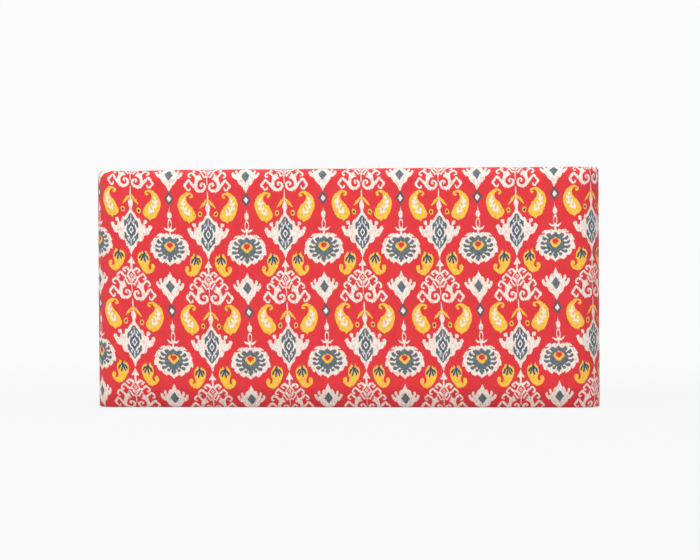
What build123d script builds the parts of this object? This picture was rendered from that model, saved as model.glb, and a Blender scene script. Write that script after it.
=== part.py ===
from build123d import *
import math
import os

# A block bench, covered in cloth on every side, with a sprung seat on a hidden softwood frame.
# X runs along the bench, -Y is its front, +Z is up, and left is -X. The origin is on the floor,
# under the middle of the bench. All lengths are millimetres.
# From the outside in, a wall is cover, batting, foam, board and frame, and the seat is cover,
# batting, foam, deck cloth and springs.

# The whole bench
LENGTH = 965.0
DEPTH = 457.0
HEIGHT = 459.0  # floor to the edges of the seat
SEAT_CROWN = 6.0  # how far the middle of the seat stands above its edges
CORNER_ROUND = 52.0  # upright corners
SEAT_EDGE_ROUND = 22.0  # front and back edges of the seat
END_EDGE_ROUND = 6.0  # seat edges above the two ends
BOTTOM_ROUND = 35.0  # bottom edges of the front and back
END_LOW_ROUND = 4.0  # bottom edges of the ends
LEAST_ROUND = 1.5

# Layers of cloth and padding
COVER_CLOTH = 1.0
BATTING = 6.0
WALL_FOAM = 12.0
BOARD = 3.0
SEAT_FOAM = 75.0
DECK_CLOTH = 0.8
DUST_CLOTH = 0.8
PAD_END = 8.0  # padding stops this far above the underside of the frame
END_PAD_END = 2.0  # the same for the padding of the ends
FOAM_LAP = 6.0  # front and back foam pass the rounding of the posts by this much
SEAM_STEP = 16.0  # from the end of a corner rounding to the seam of the end panel
SEAM_DROP = 18.0  # from the edge of the seat down to the seam of the end panel
TACK_STRIP_WIDTH = 12.0
TACK_STRIP_THICK = 1.0

# Frame timber
POST = 45.0
POST_ROUND = 20.0  # outer corner of a post
RAIL_THICK = 28.0
RAIL_WIDTH = 70.0
DECK_RISE = 20.0  # how far the deck arches above the front and back rails
MIDDLE_POST = 45.0
CLEAT_THICK = 22.0
CLEAT_HIGH = 22.0
CLEAT_DROP = 15.0  # cleat top below the top of the rail
BLOCK_LEG = 100.0
BLOCK_THICK = 19.0
BOARD_STEP = 2.0  # board edges stay this far inside the flat of the frame

# Springs
SPRING_COUNT = 7
SPRING_END = 78.5  # from an end rail to the middle of the nearest spring
SPRING_WIDTH = 50.0
SPRING_BARS = 16
SPRING_WIRE = 3.8
TIE_WIRE = 3.0
TIE_BAR = 5  # the tie wires hang under this bar, counted from each end
TIE_HOLD = 12.0  # how far a tie wire goes into the end rail
CLIP_METAL = 1.2
CLIP_WIDTH = 12.0
CLIP_FOOT = 20.0
CLIP_NAIL_STEP = 7.0  # from the wire to a nail

# Fasteners: shank, length, head width, head height
LONG_SCREW = (5.0, 80.0, 9.5, 4.0)
SHORT_SCREW = (4.0, 42.0, 7.5, 3.0)
CLIP_NAIL = (1.8, 16.0, 4.0, 0.8)
GLIDE_NAIL = (2.5, 20.0, 5.6, 0.9)
SCREW_SINK = 4.0  # heads lie this far below the wood
COUNTERBORE = 25.0  # longest way from a block's slanted face to a head
BLOCK_SCREW_HOLD_SHARE = 0.75  # how much of the rail a block screw goes through
OUTER_SCREW_STEP = 22.0  # from the middle of a rail, screws along the bench
INNER_SCREW_STEP = 10.0  # the same, screws across the bench
POST_SCREW_STEP = 12.0
BLOCK_SCREW_STEP = 60.0
STAPLE_CROWN = 10.0
STAPLE_LEG = 9.0
STAPLE_WIRE_WIDE = 1.2
STAPLE_WIRE_THIN = 0.5
STAPLES_LONG = 12  # in the hem along the front or back; the dust cover has one fewer
STAPLES_SHORT = 5  # in the hem along an end; the dust cover has one fewer
STAPLE_CORNER = 110.0  # from a corner of the bench to the nearest staple in the hem
HEM_STAPLE_SHARE = 0.3
DUST_STAPLE_SHARE = 0.75

# Hems and glides
HEM_SHORT = 3.0  # hem ends this far before the inner edge of the rail
DUST_STEP = 1.5  # dust cover starts this far past the rounding
GLIDE_WIDTH = 24.0
GLIDE_HIGH = 2.5
GLIDE_FROM_END = 42.0  # from an end of the bench to the middle of a glide
GLIDE_FROM_FRONT = 84.0  # from the front or the back to the middle of a glide
GLIDE_SEAT = 1.2  # plastic under the head of a glide nail
GLIDE_BEVEL = 1.0

# Clearances and cuts
FIT = 0.2
STAPLE_FIT = 0.1
SOFT_FIT = 0.3
OVERRUN = 5.0

# Worked out from the sizes above
WALL = COVER_CLOTH + BATTING + WALL_FOAM + BOARD
FRAME_LENGTH = LENGTH - 2 * WALL
FRAME_DEPTH = DEPTH - 2 * WALL
COVER_LOW = GLIDE_HIGH + DUST_CLOTH
FRAME_LOW = COVER_LOW + COVER_CLOTH
PAD_LOW = FRAME_LOW + PAD_END
END_PAD_LOW = FRAME_LOW + END_PAD_END
RAIL_TOP = HEIGHT - COVER_CLOTH - BATTING - SEAT_FOAM
FRAME_EASE = max(BOTTOM_ROUND - WALL, LEAST_ROUND)
END_EASE = max(END_LOW_ROUND - WALL, LEAST_ROUND)
FLAT_START = WALL + FRAME_EASE
HEM_IN = WALL + RAIL_THICK - HEM_SHORT
SEAM_Y = DEPTH / 2 - CORNER_ROUND - SEAM_STEP
SEAM_Z = HEIGHT - SEAM_DROP
INNER_X = FRAME_LENGTH / 2 - RAIL_THICK
INNER_Y = FRAME_DEPTH / 2 - RAIL_THICK
SPRING_SPACING = 2 * (INNER_X - SPRING_END) / (SPRING_COUNT - 1)
TOP_RAIL_LOW = RAIL_TOP - RAIL_WIDTH
CLEAT_TOP = RAIL_TOP - CLEAT_DROP
CLEAT_LOW = CLEAT_TOP - CLEAT_HIGH
SIDES = (("front", -1), ("back", 1))
ENDS = (("left", -1), ("right", 1))


def span(x, y, z):
    """A box from three pairs of limits."""
    size = [abs(high - low) for low, high in (x, y, z)]
    middle = [(low + high) / 2 for low, high in (x, y, z)]
    return Pos(*middle) * Box(*size)


def row(count, spacing):
    """Places along a centred row. A row with one fewer lies between those of its neighbour."""
    return [(index - (count - 1) / 2) * spacing for index in range(count)]


def eased(radius, inset):
    """The radius of a rounding, followed inwards."""
    return max(radius - inset, LEAST_ROUND)


def mirrored_outline(half, low, low_round, right_side, apex):
    """A closed outline about the vertical axis: rounded below, with its own right side and apex.

    right_side holds arcs and lines as triples or pairs of points, from the low rounding upwards.
    """
    turn = math.sqrt(0.5)
    low_arc = (
        (half - low_round, low),
        (half - low_round + low_round * turn, low + low_round - low_round * turn),
        (half, low + low_round),
    )
    edges = [Line((-half + low_round, low), (half - low_round, low))]
    for run in [low_arc] + right_side:
        left = [(-u, v) for u, v in run]
        if len(run) == 3:
            edges += [ThreePointArc(*run), ThreePointArc(*left)]
        else:
            edges += [Line(*run), Line(*left)]
    end_u, end_v = right_side[-1][-1]
    edges.append(ThreePointArc((end_u, end_v), (0, apex), (-end_u, end_v)))
    return make_face(Wire(edges))


def crowned_outline(half, low, high, low_round, high_round, crown):
    """Rounded below and above, with a crown tangent to the upper roundings."""
    reach = half - high_round
    crown_radius = high_round + (reach**2 + crown**2) / (2 * crown)
    crown_centre = high + crown - crown_radius
    round_centre = high - high_round
    lean = math.atan2(reach, round_centre - crown_centre)
    middle = (lean + math.pi / 2) / 2

    def on_round(angle):
        return (reach + high_round * math.sin(angle), round_centre + high_round * math.cos(angle))

    wall = [(half, low + low_round), (half, round_centre)]
    rounding = [(half, round_centre), on_round(middle), on_round(lean)]
    return mirrored_outline(half, low, low_round, [wall, rounding], high + crown)


def prism_of(side, end, plan):
    """What a side outline, an end outline and a plan share."""
    across = extrude(Plane.YZ * side, LENGTH, both=True)
    along = extrude(Plane.XZ * end, DEPTH, both=True)
    upright = extrude(plan, 2 * HEIGHT, both=True)
    return upright & across & along


def padded_block(inset, low):
    """The bench's outer form, drawn in by inset, with its flat underside at low."""
    shapes = []
    kinds = ((DEPTH, SEAT_EDGE_ROUND, BOTTOM_ROUND), (LENGTH, END_EDGE_ROUND, END_LOW_ROUND))
    for size, edge_round, low_round in kinds:
        shapes.append(
            crowned_outline(
                size / 2 - inset,
                low,
                HEIGHT - inset,
                eased(low_round, inset),
                eased(edge_round, inset),
                SEAT_CROWN,
            )
        )
    plan = RectangleRounded(LENGTH - 2 * inset, DEPTH - 2 * inset, eased(CORNER_ROUND, inset))
    return prism_of(shapes[0], shapes[1], plan)


def frame_plan():
    """The frame seen from above."""
    return RectangleRounded(FRAME_LENGTH, FRAME_DEPTH, POST_ROUND)


def frame_core():
    """The space inside the boards, eased along its bottom edges and open above."""
    shapes = []
    for half, ease in ((FRAME_DEPTH / 2, FRAME_EASE), (FRAME_LENGTH / 2, END_EASE)):
        wall = [(half, FRAME_LOW + ease), (half, HEIGHT)]
        shapes.append(mirrored_outline(half, FRAME_LOW, ease, [wall], HEIGHT + OVERRUN))
    return prism_of(shapes[0], shapes[1], frame_plan())


def under_deck(lift):
    """All that lies under the arch of the deck, raised by lift."""
    half = FRAME_DEPTH / 2
    radius = (half**2 + DECK_RISE**2) / (2 * DECK_RISE)
    apex = RAIL_TOP + DECK_RISE + lift
    wide = half + OVERRUN
    edge = apex - radius + math.sqrt(radius**2 - wide**2)
    corners = [(wide, edge), (wide, -HEIGHT), (-wide, -HEIGHT), (-wide, edge)]
    arc = ThreePointArc((-wide, edge), (0, apex), (wide, edge))
    return extrude(Plane.YZ * make_face(Wire([arc, *Polyline(*corners).edges()])), LENGTH, both=True)


def below(height):
    """All that lies below a height."""
    return span((-LENGTH, LENGTH), (-DEPTH, DEPTH), (-HEIGHT, height))


def placed(tool, point, direction):
    """Turn a tool that points down -Z to point along direction, with its head at point."""
    plane = Plane(origin=point, z_dir=tuple(-value for value in direction))
    return plane.location * tool


def countersunk(kind, gap=0.0, sink=0.0):
    """A screw below the origin. With a gap it is the hole for one, open upwards by sink."""
    shank, length, head, head_high = kind
    down = (Align.CENTER, Align.CENTER, Align.MAX)
    tool = Cylinder(shank / 2 + gap, length + gap, align=down)
    cone = Cone(shank / 2 + gap, head / 2 + gap, head_high, align=down)
    tool += cone
    if sink:
        up = (Align.CENTER, Align.CENTER, Align.MIN)
        tool += Cylinder(head / 2 + gap, sink, align=up)
    return tool


def flat_nail(kind, gap=0.0):
    """A nail whose flat head rests on the plane of the origin."""
    shank, length, head, head_high = kind
    down = (Align.CENTER, Align.CENTER, Align.MAX)
    up = (Align.CENTER, Align.CENTER, Align.MIN)
    nail = Cylinder(shank / 2 + gap, length + gap, align=down)
    return nail + Cylinder(head / 2 + gap, head_high + gap, align=up)


def staple(gap=0.0):
    """A staple pushed up from below, its crown lying on the plane of the origin."""
    half = STAPLE_CROWN / 2
    wide = STAPLE_WIRE_WIDE / 2 + gap
    thin = STAPLE_WIRE_THIN
    low = -OVERRUN if gap else 0
    body = span((-half - gap, half + gap), (-wide, wide), (low, thin + gap))
    for sign in (-1, 1):
        outer = sign * (half + gap)
        inner = sign * (half - thin - gap)
        body += span((outer, inner), (-wide, wide), (0, STAPLE_LEG + gap))
    return body


def cut(pieces, names, tools):
    """Cut the tools from the named pieces."""
    for name in names:
        pieces[name] = pieces[name] - tools


def make_frame():
    """Posts, rails, stretchers, cleats, corner blocks and boards."""
    block = frame_core() & under_deck(0)
    high = RAIL_TOP + DECK_RISE + OVERRUN
    half_x = FRAME_LENGTH / 2
    half_y = FRAME_DEPTH / 2
    pieces = {}
    for side, sy in SIDES:
        for end, sx in ENDS:
            post = span(
                (sx * half_x, sx * (half_x - POST)),
                (sy * half_y, sy * (half_y - POST)),
                (0, high),
            )
            pieces[f"{side}_{end}_post"] = post & block
    levels = (("bottom", 0, FRAME_LOW + RAIL_WIDTH), ("top", TOP_RAIL_LOW, high))
    for level, low, top in levels:
        for side, sy in SIDES:
            reach = half_x - POST
            rail = span((-reach, reach), (sy * half_y, sy * INNER_Y), (low, top))
            pieces[f"{side}_{level}_rail"] = rail & block
        for end, sx in ENDS:
            reach = half_y - POST
            rail = span((sx * half_x, sx * INNER_X), (-reach, reach), (low, top))
            pieces[f"{end}_{level}_rail"] = rail & block
    post_y = INNER_Y - RAIL_THICK
    for side, sy in SIDES:
        half = MIDDLE_POST / 2
        pieces[f"{side}_middle_post"] = span(
            (-half, half), (sy * INNER_Y, sy * post_y), (FRAME_LOW, CLEAT_LOW)
        )
        reach = half_x - POST
        pieces[f"{side}_spring_cleat"] = span(
            (-reach, reach), (sy * INNER_Y, sy * (INNER_Y - CLEAT_THICK)), (CLEAT_LOW, CLEAT_TOP)
        )
        reach = half_x - POST_ROUND - BOARD_STEP
        pieces[f"{side}_board"] = span(
            (-reach, reach),
            (sy * half_y, sy * (half_y + BOARD)),
            (FRAME_LOW + FRAME_EASE + BOARD_STEP, RAIL_TOP),
        )
    for end, sx in ENDS:
        reach = half_y - POST_ROUND - BOARD_STEP
        pieces[f"{end}_board"] = span(
            (sx * half_x, sx * (half_x + BOARD)),
            (-reach, reach),
            (FRAME_LOW + END_EASE + BOARD_STEP, RAIL_TOP),
        )
    half = RAIL_THICK / 2
    pieces["seat_stretcher"] = span(
        (-half, half), (-post_y, post_y), (TOP_RAIL_LOW - RAIL_WIDTH, TOP_RAIL_LOW)
    )
    start = MIDDLE_POST / 2
    pieces["floor_stretcher"] = span(
        (start, start + RAIL_THICK), (-INNER_Y, INNER_Y), (FRAME_LOW, FRAME_LOW + RAIL_WIDTH)
    )
    for name, low in (("top", TOP_RAIL_LOW), ("bottom", bottom_block_low())):
        pieces[f"{name}_corner_blocks"] = corner_blocks(low)
    return pieces


def bottom_block_low():
    """Bottom corner blocks sit at the middle of the bottom rails."""
    return FRAME_LOW + (RAIL_WIDTH - BLOCK_THICK) / 2


def corner_blocks(low):
    """Four triangular blocks, each notched for its post, whose undersides are at low."""
    blocks = []
    for _, sx in ENDS:
        for _, sy in SIDES:
            corner = (sx * INNER_X, sy * INNER_Y)
            along = (sx * (INNER_X - BLOCK_LEG), sy * INNER_Y)
            across = (sx * INNER_X, sy * (INNER_Y - BLOCK_LEG))
            triangle = make_face(Polyline(corner, along, across, close=True))
            reach = POST - RAIL_THICK + FIT
            notch = span(
                (sx * (INNER_X - reach), sx * (INNER_X + OVERRUN)),
                (sy * (INNER_Y - reach), sy * (INNER_Y + OVERRUN)),
                (0, HEIGHT),
            )
            blocks.append(extrude(Pos(0, 0, low) * triangle, BLOCK_THICK, dir=(0, 0, 1)) - notch)
    return Compound(children=blocks)


def fasten_frame(pieces):
    """Screws through the frame's joints. Each piece that a screw passes through gets its hole."""
    half_x = FRAME_LENGTH / 2 - SCREW_SINK
    half_y = FRAME_DEPTH / 2 - SCREW_SINK
    mid_x = FRAME_LENGTH / 2 - RAIL_THICK / 2
    mid_y = FRAME_DEPTH / 2 - RAIL_THICK / 2
    rails = (("bottom", FRAME_LOW + RAIL_WIDTH / 2), ("top", RAIL_TOP - RAIL_WIDTH / 2))
    long_places = []
    short_places = []
    for level, middle in rails:
        for side, sy in SIDES:
            for end, sx in ENDS:
                post = f"{side}_{end}_post"
                for way in (-1, 1):
                    high = middle + way * OUTER_SCREW_STEP
                    names = (post, f"{side}_{level}_rail")
                    long_places.append((names, (sx * half_x, sy * mid_y, high), (-sx, 0, 0)))
                    high = middle + way * INNER_SCREW_STEP
                    names = (post, f"{end}_{level}_rail")
                    long_places.append((names, (sx * mid_x, sy * half_y, high), (0, -sy, 0)))
    floor_x = (MIDDLE_POST + RAIL_THICK) / 2
    seat_z = TOP_RAIL_LOW - RAIL_WIDTH / 2
    floor_z = FRAME_LOW + RAIL_WIDTH / 2
    lap_z = (TOP_RAIL_LOW + CLEAT_LOW) / 2
    for side, sy in SIDES:
        for way in (-1, 1):
            names = (f"{side}_middle_post", "seat_stretcher")
            start = (0, sy * (INNER_Y - SCREW_SINK), seat_z + way * OUTER_SCREW_STEP)
            long_places.append((names, start, (0, -sy, 0)))
            names = (f"{side}_bottom_rail", "floor_stretcher")
            start = (floor_x, sy * half_y, floor_z + way * OUTER_SCREW_STEP)
            long_places.append((names, start, (0, -sy, 0)))
            for level, high in (("bottom", floor_z), ("top", lap_z)):
                names = (f"{side}_{level}_rail", f"{side}_middle_post")
                start = (way * POST_SCREW_STEP, sy * half_y, high)
                short_places.append((names, start, (0, -sy, 0)))
        for along in row(SPRING_COUNT - 1, SPRING_SPACING):
            names = (f"{side}_spring_cleat", f"{side}_top_rail")
            start = (along, sy * (INNER_Y - CLEAT_THICK + SCREW_SINK), (CLEAT_TOP + CLEAT_LOW) / 2)
            short_places.append((names, start, (0, sy, 0)))
    levels = (("bottom", bottom_block_low()), ("top", TOP_RAIL_LOW))
    for level, low in levels:
        high = low + BLOCK_THICK / 2
        in_rail = SHORT_SCREW[1] - RAIL_THICK * BLOCK_SCREW_HOLD_SHARE
        for side, sy in SIDES:
            for end, sx in ENDS:
                names = (f"{level}_corner_blocks", f"{side}_{level}_rail")
                start = (sx * (INNER_X - BLOCK_SCREW_STEP), sy * (INNER_Y - in_rail), high)
                short_places.append((names, start, (0, sy, 0)))
                names = (f"{level}_corner_blocks", f"{end}_{level}_rail")
                start = (sx * (INNER_X - in_rail), sy * (INNER_Y - BLOCK_SCREW_STEP), high)
                short_places.append((names, start, (sx, 0, 0)))
    for name, kind, places in (
        ("frame_screws", LONG_SCREW, long_places),
        ("block_screws", SHORT_SCREW, short_places),
    ):
        screw = countersunk(kind)
        hole = countersunk(kind, FIT, COUNTERBORE)
        for names, start, direction in places:
            cut(pieces, names, placed(hole, start, direction))
        pieces[name] = Compound(children=[placed(screw, at, way) for _, at, way in places])


def spring_points():
    """Where the bars of a spring lie, as (y, z), on an arc between the two cleats."""
    anchor_y = INNER_Y - CLEAT_THICK / 2
    anchor_z = CLEAT_TOP + CLIP_METAL + FIT + SPRING_WIRE / 2
    crown_z = RAIL_TOP + DECK_RISE - SOFT_FIT - SPRING_WIRE / 2
    rise = crown_z - anchor_z
    radius = (anchor_y**2 + rise**2) / (2 * rise)
    spread = math.asin(anchor_y / radius)
    points = []
    for index in range(SPRING_BARS):
        angle = spread * (2 * index / (SPRING_BARS - 1) - 1)
        points.append((radius * math.sin(angle), crown_z - radius + radius * math.cos(angle)))
    return points


def make_spring():
    """One zigzag spring at x = 0: bars along X joined by half turns, on the arc of the seat."""
    points = spring_points()
    chord = math.dist(points[0], points[1])
    turn = chord / 2
    bar = SPRING_WIDTH / 2 - SPRING_WIRE / 2 - turn
    edges = []
    way = 1
    for index, (y, z) in enumerate(points):
        edges.append(Line((-way * bar, y, z), (way * bar, y, z)))
        if index < len(points) - 1:
            next_y, next_z = points[index + 1]
            outer = (way * (bar + turn), (y + next_y) / 2, (z + next_z) / 2)
            edges.append(ThreePointArc((way * bar, y, z), outer, (way * bar, next_y, next_z)))
        way = -way
    path = Wire(edges)
    section = Plane(origin=path @ 0, z_dir=path % 0) * Circle(SPRING_WIRE / 2)
    return sweep(section, path=path)


def make_springs(pieces):
    """Springs, the clips and nails that hold them to the cleats, and the tie wires under them."""
    spring = make_spring()
    points = spring_points()
    anchor_y, anchor_z = points[-1]
    inner = SPRING_WIRE / 2 + FIT
    loop = Pos(anchor_y, anchor_z) * (Circle(inner + CLIP_METAL) - Circle(inner))
    foot = Pos(anchor_y, CLEAT_TOP + CLIP_METAL / 2) * Rectangle(CLIP_FOOT, CLIP_METAL)
    clip = extrude(Plane.YZ * (loop + foot), CLIP_WIDTH / 2, both=True)
    nail = flat_nail(CLIP_NAIL)
    hole = flat_nail(CLIP_NAIL, FIT)
    steps = (anchor_y - CLIP_NAIL_STEP, anchor_y + CLIP_NAIL_STEP)
    nail_z = CLEAT_TOP + CLIP_METAL
    for step in steps:
        clip -= Pos(0, step, nail_z) * hole
    clips = []
    nails = []
    for number, x in enumerate(row(SPRING_COUNT, SPRING_SPACING), 1):
        pieces[f"seat_spring_{number}"] = Pos(x, 0, 0) * spring
        for side, sy in SIDES:
            turned = clip if sy > 0 else Rot(0, 0, 180) * clip
            clips.append(Pos(x, 0, 0) * turned)
            for step in steps:
                place = Pos(x, sy * step, nail_z)
                nails.append(place * nail)
                cut(pieces, [f"{side}_spring_cleat"], place * hole)
    pieces["spring_clips"] = Compound(children=clips)
    pieces["clip_nails"] = Compound(children=nails)
    wires = []
    for index in (TIE_BAR, SPRING_BARS - 1 - TIE_BAR):
        y, z = points[index]
        place = Pos(0, y, z - SPRING_WIRE / 2 - TIE_WIRE / 2 - FIT) * Rot(0, 90, 0)
        reach = 2 * (INNER_X + TIE_HOLD)
        wires.append(place * Cylinder(TIE_WIRE / 2, reach))
        hole = place * Cylinder(TIE_WIRE / 2 + FIT, reach + 2 * FIT)
        cut(pieces, ["left_top_rail", "right_top_rail"], hole)
    pieces["tie_wires"] = Compound(children=wires)


def end_region(sx, seam_low):
    """The part of a wall layer that belongs to the end panel, inside its seams."""
    inner = LENGTH / 2 - WALL - POST
    return span((sx * inner, sx * LENGTH), (-SEAM_Y, SEAM_Y), (seam_low, SEAM_Z))


def make_padding(pieces):
    """Deck cloth, foam and batting, from the frame outwards."""
    upright = extrude(frame_plan(), 2 * HEIGHT, both=True)
    foam_form = padded_block(COVER_CLOTH + BATTING, FRAME_LOW)
    cloth_form = padded_block(COVER_CLOTH, FRAME_LOW)
    pieces["deck_cloth"] = (under_deck(DECK_CLOTH) - under_deck(0)) & upright
    pieces["seat_foam"] = foam_form - below(RAIL_TOP) - (under_deck(DECK_CLOTH) & upright)
    walls = foam_form - span((-LENGTH, LENGTH), (-DEPTH, DEPTH), (RAIL_TOP, 2 * HEIGHT))
    walls = walls - frame_core() - below(END_PAD_LOW)
    for name, _ in SIDES + ENDS:
        walls -= pieces[f"{name}_board"]
    lap = FRAME_DEPTH / 2 - POST_ROUND - FOAM_LAP
    for side, sy in SIDES:
        region = span((-LENGTH, LENGTH), (sy * lap, sy * DEPTH), (0, HEIGHT))
        pieces[f"{side}_foam"] = (walls & region) - below(PAD_LOW)
    for end, sx in ENDS:
        region = span((0, sx * LENGTH), (-lap, lap), (0, HEIGHT))
        pieces[f"{end}_end_foam"] = walls & region
    batting = cloth_form - foam_form - below(END_PAD_LOW)
    for end, sx in ENDS:
        region = end_region(sx, 0)
        strip = tack_strip(sx)
        pieces[f"{end}_tack_strip"] = strip
        pieces[f"{end}_end_batting"] = (batting & region) - strip
        batting -= region
    pieces["batting_wrap"] = batting - below(PAD_LOW)


def tack_strip(sx):
    """The strip behind the two upright seams and the upper seam of an end panel."""
    outer = LENGTH / 2 - COVER_CLOTH
    inner = outer - TACK_STRIP_THICK
    width = TACK_STRIP_WIDTH
    strip = span((sx * inner, sx * outer), (-SEAM_Y, SEAM_Y), (PAD_LOW, SEAM_Z))
    return strip - span(
        (0, sx * LENGTH), (width - SEAM_Y, SEAM_Y - width), (0, SEAM_Z - width)
    )


def make_cover(pieces):
    """The cover, cut into its wrap and its two end panels, and the dust cover."""
    shell = padded_block(0, COVER_LOW) - padded_block(COVER_CLOTH, FRAME_LOW)
    past_post = WALL + POST
    low, high = COVER_LOW - OVERRUN, FRAME_LOW + OVERRUN
    for in_x, in_y in ((HEM_IN, past_post), (past_post, HEM_IN)):
        half_x, half_y = LENGTH / 2 - in_x, DEPTH / 2 - in_y
        shell -= span((-half_x, half_x), (-half_y, half_y), (low, high))
    for end, sx in ENDS:
        region = end_region(sx, 0)
        pieces[f"{end}_end_cover"] = shell & region
        shell -= region
    pieces["wrap_cover"] = shell
    edge = FLAT_START + DUST_STEP
    half_x, half_y = LENGTH / 2 - edge, DEPTH / 2 - edge
    pieces["dust_cover"] = span((-half_x, half_x), (-half_y, half_y), (GLIDE_HIGH, COVER_LOW))


def fasten_cloth(pieces):
    """Staples through the hem of the cover, and through the dust cover and the hem."""
    flat = HEM_IN - FLAT_START
    sets = (
        ("hem_staples", COVER_LOW, HEM_STAPLE_SHARE, 0, ()),
        ("dust_cover_staples", GLIDE_HIGH, DUST_STAPLE_SHARE, 1, ("dust_cover",)),
    )
    long_spacing = (LENGTH - 2 * STAPLE_CORNER) / (STAPLES_LONG - 1)
    short_spacing = (DEPTH - 2 * STAPLE_CORNER) / (STAPLES_SHORT - 1)
    pin = staple()
    slot = staple(STAPLE_FIT)
    for name, low, share, fewer, more in sets:
        inset = FLAT_START + flat * share
        staples = []
        for side, sy in SIDES:
            slots = []
            for x in row(STAPLES_LONG - fewer, long_spacing):
                place = Pos(x, sy * (DEPTH / 2 - inset), low)
                staples.append(place * pin)
                slots.append(place * slot)
            cut(pieces, ("wrap_cover", f"{side}_bottom_rail") + more, slots)
        for end, sx in ENDS:
            slots = []
            for y in row(STAPLES_SHORT - fewer, short_spacing):
                place = Pos(sx * (LENGTH / 2 - inset), y, low) * Rot(0, 0, 90)
                staples.append(place * pin)
                slots.append(place * slot)
            cut(pieces, (f"{end}_end_cover", f"{end}_bottom_rail") + more, slots)
        pieces[name] = Compound(children=staples)


def make_glides(pieces):
    """Four plastic glides under the end rails, each held by a nail through the cloth."""
    disc = Cylinder(GLIDE_WIDTH / 2, GLIDE_HIGH, align=(Align.CENTER, Align.CENTER, Align.MIN))
    disc = chamfer(disc.edges().sort_by(Axis.Z)[0], GLIDE_BEVEL)
    shank, _, head, head_high = GLIDE_NAIL
    up = (Align.CENTER, Align.CENTER, Align.MIN)
    bore = Cylinder(shank / 2 + FIT, GLIDE_HIGH, align=up)
    sink = Cylinder(head / 2 + FIT, GLIDE_HIGH - GLIDE_SEAT, align=up)
    disc = disc - bore - sink
    nail = Rot(180, 0, 0) * flat_nail(GLIDE_NAIL)
    hole = Rot(180, 0, 0) * flat_nail(GLIDE_NAIL, FIT)
    nails = []
    for side, sy in SIDES:
        for end, sx in ENDS:
            x, y = sx * (LENGTH / 2 - GLIDE_FROM_END), sy * (DEPTH / 2 - GLIDE_FROM_FRONT)
            pieces[f"{side}_{end}_glide"] = Pos(x, y, 0) * disc
            place = Pos(x, y, GLIDE_HIGH - GLIDE_SEAT)
            nails.append(place * nail)
            cut(pieces, ("dust_cover", f"{end}_end_cover", f"{end}_bottom_rail"), place * hole)
    pieces["glide_nails"] = Compound(children=nails)


def main():
    """Make every piece and write each to its own file."""
    pieces = make_frame()
    fasten_frame(pieces)
    make_springs(pieces)
    make_padding(pieces)
    make_cover(pieces)
    fasten_cloth(pieces)
    make_glides(pieces)
    os.makedirs("parts", exist_ok=True)
    for name, shape in pieces.items():
        export_step(shape, f"parts/{name}.step")
    print(len(pieces), "nodes")


main()
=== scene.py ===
"""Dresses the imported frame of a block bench: printed cover, padding, underside and studio.

+X runs along the bench, -Y is its front and +Z is up. Lengths are metres.
"""
import math

import bpy
import numpy as np
from bpy.props import FloatProperty, FloatVectorProperty, PointerProperty
from mathutils import Matrix, Vector


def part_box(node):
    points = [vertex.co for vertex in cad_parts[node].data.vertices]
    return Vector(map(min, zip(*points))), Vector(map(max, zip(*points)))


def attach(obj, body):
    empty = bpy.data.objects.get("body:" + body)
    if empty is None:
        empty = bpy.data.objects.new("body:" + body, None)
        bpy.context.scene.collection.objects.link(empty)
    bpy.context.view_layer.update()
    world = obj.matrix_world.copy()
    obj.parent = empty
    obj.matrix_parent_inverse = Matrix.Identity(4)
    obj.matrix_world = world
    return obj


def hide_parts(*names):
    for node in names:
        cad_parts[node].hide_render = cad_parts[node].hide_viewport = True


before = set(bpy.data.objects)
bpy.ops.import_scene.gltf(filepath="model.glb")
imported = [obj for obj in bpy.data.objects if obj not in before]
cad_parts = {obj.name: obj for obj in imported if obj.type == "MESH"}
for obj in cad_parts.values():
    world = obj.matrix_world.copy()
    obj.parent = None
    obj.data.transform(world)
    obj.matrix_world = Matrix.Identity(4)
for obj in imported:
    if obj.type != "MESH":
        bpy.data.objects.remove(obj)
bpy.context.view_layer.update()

bl_info = {
    "name": "Upholstered Block Bench",
    "version": (1, 0, 0),
    "blender": (4, 5, 0),
    "location": "3D View > Sidebar > Bench",
    "description": "Covers a sprung bench frame in ikat cloth and sets up a plain studio",
    "category": "Add Mesh",
}

COVER_LOW, COVER_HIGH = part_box("wrap_cover")
SEAT_FOAM_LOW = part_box("seat_foam")[0]
BATTING_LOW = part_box("batting_wrap")[0]
DECK_LOW, DECK_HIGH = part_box("deck_cloth")
DUST_LOW, DUST_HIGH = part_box("dust_cover")
FRAME_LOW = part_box("front_bottom_rail")[0].z


def linear(code):
    """A colour as a screen shows it, written RRGGBB, in linear light."""
    shown = np.array([int(code[i:i + 2], 16) for i in (0, 2, 4)]) / 255
    return tuple(np.where(shown <= 0.04045, shown / 12.92, ((shown + 0.055) / 1.055) ** 2.4))


def length_value(name, description, default):
    """A length in metres that the panel shows."""
    return FloatProperty(name=name, description=description, default=default, unit="LENGTH", precision=4)


def colour_value(name, description, code):
    """A colour that the panel shows, from its code."""
    return FloatVectorProperty(
        name=name, description=description, default=linear(code), subtype="COLOR", size=3, min=0, max=1
    )


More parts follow.
